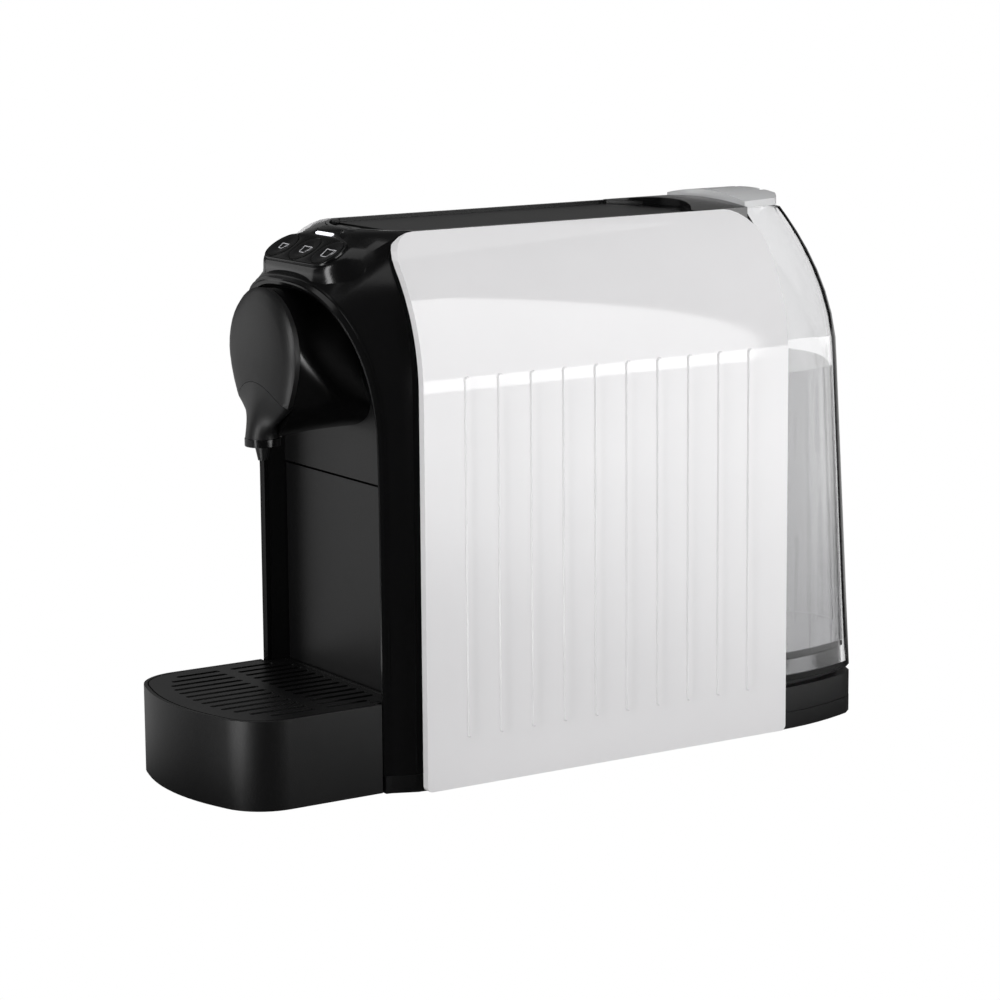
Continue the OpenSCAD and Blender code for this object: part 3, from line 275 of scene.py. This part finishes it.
# most are named for the record's slots; sump, icon and water are for added pieces
LOOKS = {
    "gloss_black": (plastic, dict(color=(0.003, 0.003, 0.0032), rough=0.2, spread=0.03,
                                  grain=0.06)),
    "satin_black": (plastic, dict(color=(0.004, 0.004, 0.0043), rough=0.4, grain=0.2)),
    "gloss_white": (panel_white, dict()),
    "clear_tank": (clear, dict(color=(0.9, 0.9, 0.905), rough=0.02)),
    "smoke_lid": (clear, dict(color=(0.88, 0.885, 0.89), rough=0.16, weight=0.4)),
    "sump": (clear, dict(color=(0.34, 0.34, 0.345), rough=0.06)),
    "light_white": (glowing, dict(color=(0.93, 0.93, 1.0), strength=1.0)),
    "plain_steel": (metal, dict(color=(0.55, 0.55, 0.56), rough=0.3)),
    "cast_alloy": (metal, dict(color=(0.6, 0.6, 0.62), rough=0.45)),
    "inner_grey": (plastic, dict(color=(0.05, 0.05, 0.053), rough=0.5, grain=0.2)),
    "inner_white": (plastic, dict(color=(0.7, 0.7, 0.68), rough=0.45)),
    "board_green": (plastic, dict(color=(0.02, 0.12, 0.045), rough=0.35)),
    "foot_rubber": (plastic, dict(color=(0.012, 0.012, 0.012), rough=0.8, grain=0.3)),
    "seal_red": (plastic, dict(color=(0.4, 0.04, 0.03), rough=0.55)),
    "hose_clear": (plastic, dict(color=(0.62, 0.62, 0.6), rough=0.35)),
    "icon": (plastic, dict(color=(0.62, 0.62, 0.64), rough=0.5)),
    "water": (clear, dict(color=(0.42, 0.42, 0.425), rough=0.0, ior=1.1, ripple=0.1,
                          ripple_size=30.0)),
}
MATERIALS = {name: make(name, **look) for name, (make, look) in LOOKS.items()}

# ---- CAD nodes -------------------------------------------------------------------------------

CREASE = math.radians(35)
WELD_DISTANCE = 0.00001  # metres
SOFT_EDGE = {
    "side_panel_left": 0.7, "side_panel_right": 0.7, "drip_tray": 0.7, "lever": 0.5,
    "base_plate": 0.5, "tank_seat": 0.5, "spout_ring": 0.4, "button_left": 0.4,
    "button_middle": 0.4, "button_right": 0.4, "button_fascia": 0.25, "top_deck": 0.25,
    "rear_deck": 0.3,
}
PANEL_RIM = 2.0
RIM_NEAR = 0.08  # a point this near to the panel's face is on its rim
# a panel's ribs lie within these bounds, and its ends outside them
RIB_Y, RIB_Z = (-75, 95), (20, 195)


def weld(piece):
    piece.modifiers.new("weld", "WELD").merge_threshold = WELD_DISTANCE


def crease(piece, angle):
    """Keep edges sharper than the angle (in radians) sharp."""
    piece.modifiers.new("split", "EDGE_SPLIT").split_angle = angle


def dress(name):
    """Smooth shading, soft edges and the material of a CAD node."""
    node = NODES[name]
    node.data.materials.clear()
    node.data.materials.append(MATERIALS[SLOT[name]])
    for face in node.data.polygons:
        face.use_smooth = True
    weld(node)
    if name in SOFT_EDGE:
        bevel = node.modifiers.new("bevel", "BEVEL")
        bevel.width = SOFT_EDGE[name] * MM
        bevel.segments = 3
        bevel.limit_method = "ANGLE"
        bevel.angle_limit = CREASE
        bevel.harden_normals = True
    crease(node, CREASE)
    even = node.modifiers.new("even", "WEIGHTED_NORMAL")
    even.weight = 80
    even.keep_sharp = True


def round_rim(name):
    """Round the outer rim of a side panel and leave its ribs sharp."""
    node = NODES[name]
    mesh = node.data

    def place(index):
        return tuple(round(c, 2) for c in mesh.vertices[index].co / MM)

    rim = set()
    for face in mesh.polygons:
        y, z = face.center.y / MM, face.center.z / MM
        on_end = not (RIB_Y[0] <= y <= RIB_Y[1] and RIB_Z[0] <= z <= RIB_Z[1])
        if abs(face.normal.x) < 0.02 and on_end:
            rim.update(face.vertices)
    outer = set()
    for index in rim:
        x, _, z = mesh.vertices[index].co / MM
        if abs(x) > half_at(z, 0) - RIM_NEAR:
            outer.add(place(index))
    weights = mesh.attributes.new("bevel_weight_edge", "FLOAT", "EDGE")
    for edge in mesh.edges:
        weights.data[edge.index].value = float(all(place(i) in outer for i in edge.vertices))
    bevel = node.modifiers["bevel"]
    bevel.limit_method = "WEIGHT"
    bevel.harden_normals = False
    bevel.width = PANEL_RIM * MM
    bevel.segments = 4


for node_name in NODES:
    dress(node_name)
for node_name in ("side_panel_left", "side_panel_right"):
    round_rim(node_name)

# ---- making pieces ---------------------------------------------------------------------------


def solid(name, material, points, faces, body, smooth=True):
    """A piece from points in millimetres, riding on a body."""
    mesh = bpy.data.meshes.new(name)
    mesh.from_pydata([(x * MM, y * MM, z * MM) for x, y, z in points], [], faces)
    mesh.update()
    mesh.materials.append(MATERIALS[material])
    piece = bpy.data.objects.new(name, mesh)
    bpy.context.scene.collection.objects.link(piece)
    for face in mesh.polygons:
        face.use_smooth = smooth
    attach(piece, body)
    return piece


def loft(name, material, sections, body, angle):
    """A closed solid through a row of sections with as many points each."""
    around = len(sections[0])
    points = [point for section in sections for point in section]
    last = (len(sections) - 1) * around
    faces = [tuple(reversed(range(around))), tuple(range(last, last + around))]
    for a in range(0, last, around):
        b = a + around
        for j in range(around):
            k = (j + 1) % around
            faces.append((a + j, a + k, b + k, b + j))
    piece = solid(name, material, points, faces, body)
    crease(piece, math.radians(angle))
    return piece


def arc(x, y, r, start, end, steps):
    """Points along an arc in a plane, with the angles in degrees."""
    turns = [math.radians(mix(start, end, i / steps)) for i in range(steps + 1)]
    return [(x + r * math.cos(turn), y + r * math.sin(turn)) for turn in turns]


# ---- water and the tinted foot of the tank ---------------------------------------------------

SIDE_SPAN, BACK_SPAN = 0.86, 0.84  # shares of the side's and the back's curves before the corner
SPAN_STEPS = 8
CORNER_PULL = 0.2  # the corner's curve is pulled this far from the corner towards the back
# how the plan draws in with height: per mm up to the bend, and per square mm above it
CORNER_X_IN, CORNER_Y_IN, BACK_IN = (0, 0.0035), (0.066, 0.0033), (0.063, 0.0057)


def rear_outline(inset, wide, corner_x, corner_y, back_y):
    """The tank's plan: bowed sides, a bowed back and a rounded corner between them."""
    side = []
    for t in [SIDE_SPAN * i / SPAN_STEPS for i in range(SPAN_STEPS + 1)]:
        side.append((mix(wide, corner_x, t * t) - inset, mix(TANK_Y0, corner_y, t)))
    back = []
    for u in [BACK_SPAN * (1 - i / SPAN_STEPS) for i in range(SPAN_STEPS + 1)]:
        back.append(((corner_x - inset) * u, mix(corner_y, back_y, 1 - u * u) - inset))
    start, end = side[-1], back[0]
    pull = (corner_x - inset, mix(corner_y, back_y, CORNER_PULL) - inset * (1 - CORNER_PULL))
    bend = [[mix(mix(a, b, t), mix(b, c, t), t) for a, b, c in zip(start, pull, end)]
            for t in (0.2, 0.4, 0.6, 0.8)]
    outline = mirrored(side + bend + back)
    del outline[len(outline) // 2]  # the back's middle comes once
    return outline


def tank_section(z, inset):
    """The tank's plan at height z, set in from its outer face."""
    below, above = min(z, TANK_BEND_Z) - TANK_Z0, max(0, z - TANK_BEND_Z) ** 2

    def drawn_in(place, rates):
        return place - rates[0] * below - rates[1] * above

    plan = rear_outline(inset, min(REAR_HALF - TANK_GAP, half_at(z, SKIN + TANK_GAP)),
                        drawn_in(REAR_CORNER[0], CORNER_X_IN),
                        drawn_in(REAR_CORNER[1], CORNER_Y_IN),
                        drawn_in(REAR_Y - TANK_BACK_GAP, BACK_IN))
    return [(x, max(y, TANK_Y0 + inset), z) for x, y in plan]


FLOOR_Z, FLOOR_T = 38.2, 2.6
WATER_Z0, WATER_Z1, WATER_STEPS = FLOOR_Z + 0.3, 174.0, 12
SUMP_Z0, SUMP_Z1 = TANK_Z0 + 2.8, FLOOR_Z - FLOOR_T - 1


def tank_filling(name, material, gap, levels):
    """What fills the tank between the levels, with a gap to its wall."""
    loft(name, material, [tank_section(z, TANK_WALL + gap) for z in levels],
         BODY_OF["water_tank"], 40)


tank_filling("tank_water", "water", 0.06,
             [mix(WATER_Z0, WATER_Z1, i / WATER_STEPS) for i in range(WATER_STEPS + 1)])
tank_filling("tank_floor", "sump", 0.08, (FLOOR_Z - FLOOR_T, FLOOR_Z))
tank_filling("tank_sump", "sump", 0.5, (SUMP_Z0, SUMP_Z1))

# ---- cups printed on the buttons -------------------------------------------------------------

CUP_HALF, CUP_FOOT_HALF, CUP_HEIGHT, CUP_CORNER = 2.5, 1.9, 3.6, 0.7
CUP_SHIFT = -0.4  # so that cup and handle together stand in the button's middle
LINE_WIDTH, LINE_STEP = 0.42, 0.4
INK = (0.02, 0.07)  # underside and top of the ink over the button's dish


def on_fascia(x, y, z):
    """A point given in the fascia's own frame."""
    cos, sin = math.cos(FASCIA_TILT), math.sin(FASCIA_TILT)
    return (FASCIA_AT[0] + x, FASCIA_AT[1] + y * cos - z * sin, FASCIA_AT[2] + y * sin + z * cos)


def dish(x, y, lift):
    """Height of a button's dished top at a place from its middle."""
    return DISH_Z - math.sqrt(DISH_R ** 2 - x * x - y * y) + lift


def dense(path, closed):
    """The path with short steps, so that a line along it follows the dish."""
    out = []
    for a, b in zip(path, path[1:] + path[:1] if closed else path[1:]):
        count = max(1, int(math.dist(a, b) / LINE_STEP))
        out += [(mix(a[0], b[0], i / count), mix(a[1], b[1], i / count)) for i in range(count)]
    return out if closed else out + [path[-1]]


def borders(path, closed):
    """Left and right borders of a line along a path."""
    half, last, pairs = LINE_WIDTH / 2, len(path) - 1, []
    for i, (x, y) in enumerate(path):
        before = path[i - 1] if closed or i else path[i]
        after = path[(i + 1) % len(path)] if closed or i < last else path[i]
        along = Vector((after[0] - before[0], after[1] - before[1])).normalized()
        pairs.append(((x - along.y * half, y + along.x * half),
                      (x + along.y * half, y - along.x * half)))
    return pairs


def cup_icon(name, middle_x, scale, body):
    """A cup in outline with its handle."""
    foot = arc(CUP_FOOT_HALF - CUP_CORNER, -CUP_HEIGHT / 2 + CUP_CORNER, CUP_CORNER, 0, -90, 4)
    cup = mirrored([(CUP_HALF, CUP_HEIGHT / 2)] + foot)
    top = CUP_HEIGHT / 2 - 0.3
    handle = [(CUP_HALF - 0.1, top), (CUP_HALF + 1.2, top), (CUP_HALF + 1.25, 0.1),
              (CUP_HALF - 0.35, -0.35)]
    points, faces = [], []
    for path, closed in ((cup, True), (handle, False)):
        path = [(x * scale + CUP_SHIFT, y * scale) for x, y in path]
        pairs = borders(dense(path, closed), closed)
        first, count = len(points), len(pairs)
        for pair in pairs:
            points += [on_fascia(middle_x + x, y, dish(x, y, lift))
                       for lift in INK for x, y in pair]
        for i in range(count if closed else count - 1):
            a, b = first + 4 * i, first + 4 * ((i + 1) % count)
            faces += [(a + 2, a + 3, b + 3, b + 2), (a, b, b + 1, a + 1),
                      (a, a + 2, b + 2, b), (a + 1, b + 1, b + 3, a + 3)]
        if not closed:
            end = first + 4 * (count - 1)
            faces += [(first, first + 1, first + 3, first + 2), (end, end + 2, end + 3, end + 1)]
    solid(name, "icon", points, faces, body, smooth=False)


cup_icon("cup_small", -BUTTON_PITCH, 0.95, BODY_OF["button_left"])
cup_icon("cup_medium", 0, 1.2, BODY_OF["button_middle"])
cup_icon("cup_large", BUTTON_PITCH, 1.4, BODY_OF["button_right"])

# ---- fascia plate and the pad it stands on ---------------------------------------------------

PLATE_R = 9.5  # round each button
# middle and radius of the arc into the hollow corner, and of the upper part's corner
HOLLOW_X, HOLLOW_Y, HOLLOW_R = 15.6, 15.6, 4.4
UPPER_X, UPPER_Y, UPPER_R = 7.6, 14.6, 2.6
PLATE_Z = (-3.0, 0.15)
PLATE_EDGE = 0.35
HOLE_R, SLOT_R = 8.25, 0.95


def fascia_plate(outlines):
    """A flat plate with rounded edges and holes, from its outline and those of its holes."""
    data = bpy.data.curves.new("fascia_plate", "CURVE")
    data.dimensions = "2D"
    data.fill_mode = "BOTH"
    data.extrude = (PLATE_Z[1] - PLATE_Z[0]) / 2 - PLATE_EDGE
    data.bevel_depth = PLATE_EDGE
    data.bevel_resolution = 3
    data.offset = -PLATE_EDGE
    for path in outlines:
        spline = data.splines.new("POLY")
        spline.points.add(len(path) - 1)
        for point, (x, y) in zip(spline.points, path):
            point.co = (x, y, 0, 1)
        spline.use_cyclic_u = True
    curve = bpy.data.objects.new("fascia_plate_curve", data)
    bpy.context.scene.collection.objects.link(curve)
    bpy.context.view_layer.update()
    shown = curve.evaluated_get(bpy.context.evaluated_depsgraph_get())
    mesh = bpy.data.meshes.new_from_object(shown)
    bpy.data.objects.remove(curve)
    middle = sum(PLATE_Z) / 2
    points = [on_fascia(v.co.x, v.co.y, v.co.z + middle) for v in mesh.vertices]
    faces = [tuple(face.vertices) for face in mesh.polygons]
    bpy.data.meshes.remove(mesh)
    piece = solid("fascia_plate", "gloss_black", points, faces, BODY_OF["button_fascia"])
    weld(piece)
    crease(piece, math.radians(40))
    return piece


plate_outline = mirrored(arc(BUTTON_PITCH, 0, PLATE_R, -90, 62, 18)
                         + arc(HOLLOW_X, HOLLOW_Y, HOLLOW_R, 245, 180, 6)
                         + arc(UPPER_X, UPPER_Y, UPPER_R, 0, 90, 6))
plate_holes = [arc(x, 0, HOLE_R, 0, 352.5, 47) for x in (-BUTTON_PITCH, 0, BUTTON_PITCH)]
plate_holes.append(arc(LIGHT_HALF, LIGHT_Y, SLOT_R, -90, 90, 8)
                   + arc(-LIGHT_HALF, LIGHT_Y, SLOT_R, 90, 270, 8))
plate = fascia_plate([plate_outline] + [hole[::-1] for hole in plate_holes])
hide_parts("button_fascia")

cowl_points, cowl_faces = [], []
for node_name in ("front_cowl", "arch_trim"):
    node_mesh = NODES[node_name].data
    for face in node_mesh.polygons:
        cowl_faces.append(tuple(i + len(cowl_points) for i in face.vertices))
    cowl_points += [v.co.copy() for v in node_mesh.vertices]
cowl_tree = BVHTree.FromPolygons(cowl_points, cowl_faces)

RAY_TOP, RAY_END = 12, -20  # heights over the fascia's plane between which the cowl is sought
PAD_TOP = -0.9
PAD_RISE = 1  # the pad's slope stays below PAD_TOP + PAD_RISE
PAD_SINK = 0.25  # its outer edge goes into the cowl by this much
PAD_STEPS = (0.25, 0.9, 1.8, 3.0, 4.4, 6.0, 8.0)  # distances out from the pad's rim
PAD_FRONT_SHARE = 0.42  # the slope is shorter by this share towards the front
PAD_OPEN_LEVEL = -4.2  # where no cowl lies below
PAD_UPPER_X, PAD_UPPER_Y, PAD_UPPER_R = 8, 13.5, 3


def cowl_level(x, y, default):
    """Height of the cowl's surface over the fascia's plane."""
    start, end = (Vector(on_fascia(x, y, z)) * MM for z in (RAY_TOP, RAY_END))
    hit = cowl_tree.ray_cast(start, (end - start).normalized(), (RAY_TOP - RAY_END) * MM)[0]
    return default if hit is None else RAY_TOP - (hit - start).length / MM


def pad_rim():
    """Points of the pad's plain outline, without the hollow, with their outward directions."""
    corners = [(BUTTON_PITCH, 0, PLATE_R, mix(-90, 45, i / 14)) for i in range(15)]
    corners += [(PAD_UPPER_X, PAD_UPPER_Y, PAD_UPPER_R, mix(45, 90, i / 6)) for i in range(7)]
    right_side = []
    for x, y, r, angle in corners:
        u, v = math.cos(math.radians(angle)), math.sin(math.radians(angle))
        right_side.append((x + r * u, y + r * v, u, v))
    return right_side + [(-x, y, -u, v) for x, y, u, v in reversed(right_side)]


pad_rows = []
for step in reversed(PAD_STEPS):
    pad_row = []
    for x, y, u, v in pad_rim():
        share = 1 - PAD_FRONT_SHARE * max(0, -v)
        near, far = step * share, PAD_STEPS[-1] * share
        edge_level = cowl_level(x + u * far, y + v * far, PAD_OPEN_LEVEL)
        own_level = cowl_level(x + u * near, y + v * near, edge_level)
        z = mix(PAD_TOP, min(own_level, PAD_TOP + PAD_RISE),
                ease((step - PAD_STEPS[0]) / (PAD_STEPS[-1] - PAD_STEPS[0])))
        if step == PAD_STEPS[-1]:
            z -= PAD_SINK
        pad_row.append(on_fascia(x + u * near, y + v * near, z))
    pad_rows.append(pad_row)
loft("fascia_pad", "gloss_black", pad_rows, BODY_OF["button_fascia"], 60)

# ---- neck of the spout -----------------------------------------------------------------------

NECK_HALF = 21.3  # half width at the seam with the upper cover
NECK_WIDE_Z = 173.7  # the egg is wider than the neck above this height
NECK_R = SPOUT_R * 0.97
NECK_STEPS, NECK_COLUMNS = 16, 14
SEAM_Z, SEAM_DROP, SEAM_GAP = 184, 0.0227, 0.25
COVER_BACK = 2.6  # from the plane of the cover back to its inner face
RING_TOP_Z = SPOUT_Z + 3.8


def egg_half(z):
    """Half width of the head's egg below its middle."""
    fall = (HEAD_MID_Z - z) / (HEAD_MID_Z - HEAD_LOW_Z)
    return HEAD_HALF * max(0.0, 1 - fall ** EGG_POWER) ** (1 / EGG_POWER)


def cap_bulge(x, z):
    """How far the head's front cover stands out at x, z (negative towards the front)."""
    low, high = CAP_BULGE[0][0], 1.0
    for _ in range(24):  # halvings of the span in which the scale is sought
        scale = (low + high) / 2
        level = CAP_MIDDLE_Z + (z - CAP_MIDDLE_Z) / scale
        outside = level < HEAD_LOW_Z or (level < HEAD_MID_Z and abs(x) / scale > egg_half(level))
        low, high = (scale, high) if outside else (low, scale)
    for (scale0, out0), (scale1, out1) in zip(CAP_BULGE, CAP_BULGE[1:]):
        if high <= scale1:
            return mix(out0, out1, max(0, (high - scale0) / (scale1 - scale0)))
    return 0.0


def neck_section(v):
    """One loop of the spout's neck: v runs from the seam with the upper cover to the ring."""
    turned = mix(v, ease(v), 0.55)
    front, rear = [], []
    for i in range(-NECK_COLUMNS, NECK_COLUMNS + 1):
        u = i / NECK_COLUMNS
        z = mix(SEAM_Z - SEAM_DROP * (NECK_HALF * u) ** 2 - SEAM_GAP, RING_TOP_Z, v)
        x = u * (min(NECK_HALF, egg_half(z)) if z < NECK_WIDE_Z else NECK_HALF)
        ring_x, ring_y = NECK_R * math.sin(math.pi / 2 * u), NECK_R * math.cos(math.pi / 2 * u)
        across = mix(x, ring_x, turned)
        front.append((across, mix(HEAD_Y + cap_bulge(x, z), SPOUT_Y - ring_y, turned), z))
        rear.append((across, mix(HEAD_Y + COVER_BACK, SPOUT_Y + ring_y, turned), z))
    return front + rear[::-1]


neck = loft("spout_neck", "satin_black",
            [neck_section(i / NECK_STEPS) for i in range(NECK_STEPS, -1, -1)],
            BODY_OF["head_lower_cover"], 50)
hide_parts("head_lower_cover")

# ---- cheeks that close the base beside the tray ----------------------------------------------

CHEEK_FACE = [(56.5, -101.4), (61.3, -90.5), (61.9, -83.7)]
CHEEK_INNER = (-1.6, 0.2)  # from the outer face to the inner one
CHEEK_Z = (1.3, 9.3)

for side, tag in ((1, "right"), (-1, "left")):
    plan = CHEEK_FACE + [(x + CHEEK_INNER[0], y + CHEEK_INNER[1]) for x, y in CHEEK_FACE[::-1]]
    if side < 0:
        plan = [(-x, y) for x, y in reversed(plan)]
    loft("base_cheek_" + tag, "satin_black", [[(x, y, z) for x, y in plan] for z in CHEEK_Z],
         BODY_OF["base_plate"], 30)

# ---- lamps and world -------------------------------------------------------------------------


def area_light(name, at, target, size, power):
    data = bpy.data.lights.new(name, "AREA")
    data.shape = "RECTANGLE"
    data.size, data.size_y = size
    data.energy = power
    light = bpy.data.objects.new(name, data)
    bpy.context.scene.collection.objects.link(light)
    light.location = at
    light.rotation_euler = (Vector(target) - Vector(at)).to_track_quat("-Z", "Y").to_euler()


area_light("top_box", (0.1, 0.1, 1.7), (0, 0, 0.1), (1.3, 1.5), 4.5)
area_light("side_box", (1.2, 0.7, 0.7), (0.0, 0.7, 0.7), (0.5, 1.4), 9)
area_light("front_strip", (0.42, -1.9, 0.6), (0.03, -0.1, 0.12), (0.42, 1.3), 13)
area_light("left_box", (-1.4, -0.95, 0.5), (0, -0.1, 0.14), (1.0, 1.0), 2.4)

WHITE, ROOM_GREY = (1, 1, 1, 1), (0.36, 0.36, 0.365, 1)
PATCH_WAY = (-0.81, 0.56, 0.13)  # gloss sees a soft pale patch this way

scene = bpy.context.scene
world = bpy.data.worlds.new("studio")
scene.world = world
world.use_nodes = True
studio = Shading(world.node_tree)
rays = studio.add("LightPath").outputs
way = studio.add("TexCoord").outputs["Generated"]
patch = studio.ramp(studio.vector("DOT_PRODUCT", way, PATCH_WAY), 0.8, 0.98, 0.04, 0.2)
lit = studio.blend(rays["Is Glossy Ray"], ROOM_GREY, patch)
seen = studio.math("MAXIMUM", rays["Is Camera Ray"], rays["Is Transmission Ray"])
studio.plug(studio.nodes["Background"].inputs["Color"], studio.blend(seen, lit, WHITE))
studio.plug(studio.nodes["Background"].inputs["Strength"], 1.0)

# ---- floor -----------------------------------------------------------------------------------

FLOOR_SIZE, FLOOR_GREY = 12, (0.8, 0.8, 0.8, 1)
GLOSS_MIDDLE = (-0.1, -0.25, 0)  # the floor's glow for gloss grows with the distance from here

bpy.ops.mesh.primitive_plane_add(size=FLOOR_SIZE, location=(0, 0, 0))
floor = bpy.context.object
floor.name = "floor"
floor_white, ground, floor_surface = new_material("floor_white")
ground.plug(floor_surface["Base Color"], FLOOR_GREY)
ground.plug(floor_surface["Roughness"], 0.6)
ground.plug(floor_surface["Specular IOR Level"], 0.0)


def glow_for(rays_share, under, strength):
    """Lay an emission over a shader for one kind of ray."""
    emission = ground.add("Emission", Strength=strength).outputs["Emission"]
    mixer = ground.add("MixShader", Fac=rays_share)
    ground.plug(mixer.inputs[1], under)
    ground.plug(mixer.inputs[2], emission)
    return mixer.outputs["Shader"]


# what gloss sees in the floor: pale behind on the right, dim on the left, dark in front of the
# machine except for one bright strip
spot = ground.add("TexCoord").outputs["Object"]
along = ground.add("SeparateXYZ", Vector=spot).outputs
distance = ground.vector("DISTANCE", spot, GLOSS_MIDDLE)
right_share = ground.ramp(along["X"], 0.0, 0.3, 0.0, 1.0)
rear_share = ground.ramp(along["Y"], -0.05, 0.3, 0.0, 1.0)
rear_right = ground.math("MULTIPLY", ground.ramp(distance, 0.3, 1.3, 0.9, 4.2),
                         ground.math("MULTIPLY", rear_share, right_share))
left = ground.ramp(along["X"], -0.16, 0.0, 0.45, 0.03)
# the strip's middle line runs where across is 0
across = ground.math("ADD", ground.math("MULTIPLY", along["X"], 0.97),
                     ground.math("ADD", ground.math("MULTIPLY", along["Y"], 0.21), -0.003))
strip = ground.math("MULTIPLY", ground.ramp(ground.math("ABSOLUTE", across), 0.02, 0.09, 4.5, 0.0),
                    ground.ramp(along["Y"], -0.34, -0.22, 1.0, 0.0))
gloss_glow = ground.math("ADD", rear_right, ground.math("ADD", left, strip))
rays = ground.add("LightPath").outputs
shown = glow_for(rays["Is Glossy Ray"], ground.nodes["Principled BSDF"].outputs["BSDF"], gloss_glow)
shown = glow_for(rays["Is Transmission Ray"], shown, 1.0)
shown = glow_for(rays["Is Camera Ray"], shown, 1.0)
ground.plug(ground.nodes["Material Output"].inputs["Surface"], shown)
floor.data.materials.append(floor_white)

# ---- camera ----------------------------------------------------------------------------------

CAMERA_AT = (1.3029, -0.8519, 0.3997)
AZIMUTH, ELEVATION, ROLL = (math.radians(v) for v in (57.006, 10.336, -0.422))
LENS, SENSOR = 120.62, 36  # millimetres

back = Vector((math.sin(AZIMUTH) * math.cos(ELEVATION), -math.cos(AZIMUTH) * math.cos(ELEVATION),
               math.sin(ELEVATION)))
level = Vector((math.cos(AZIMUTH), math.sin(AZIMUTH), 0))
upright = back.cross(level)
right = math.cos(ROLL) * level + math.sin(ROLL) * upright
up = math.cos(ROLL) * upright - math.sin(ROLL) * level
camera_data = bpy.data.cameras.new("camera")
camera_data.lens = LENS
camera_data.sensor_width = SENSOR
camera = bpy.data.objects.new("camera", camera_data)
scene.collection.objects.link(camera)
camera.matrix_world = (Matrix.Translation(CAMERA_AT)
                       @ Matrix((right, up, back)).transposed().to_4x4())
scene.camera = camera
scene.view_settings.view_transform = "Standard"
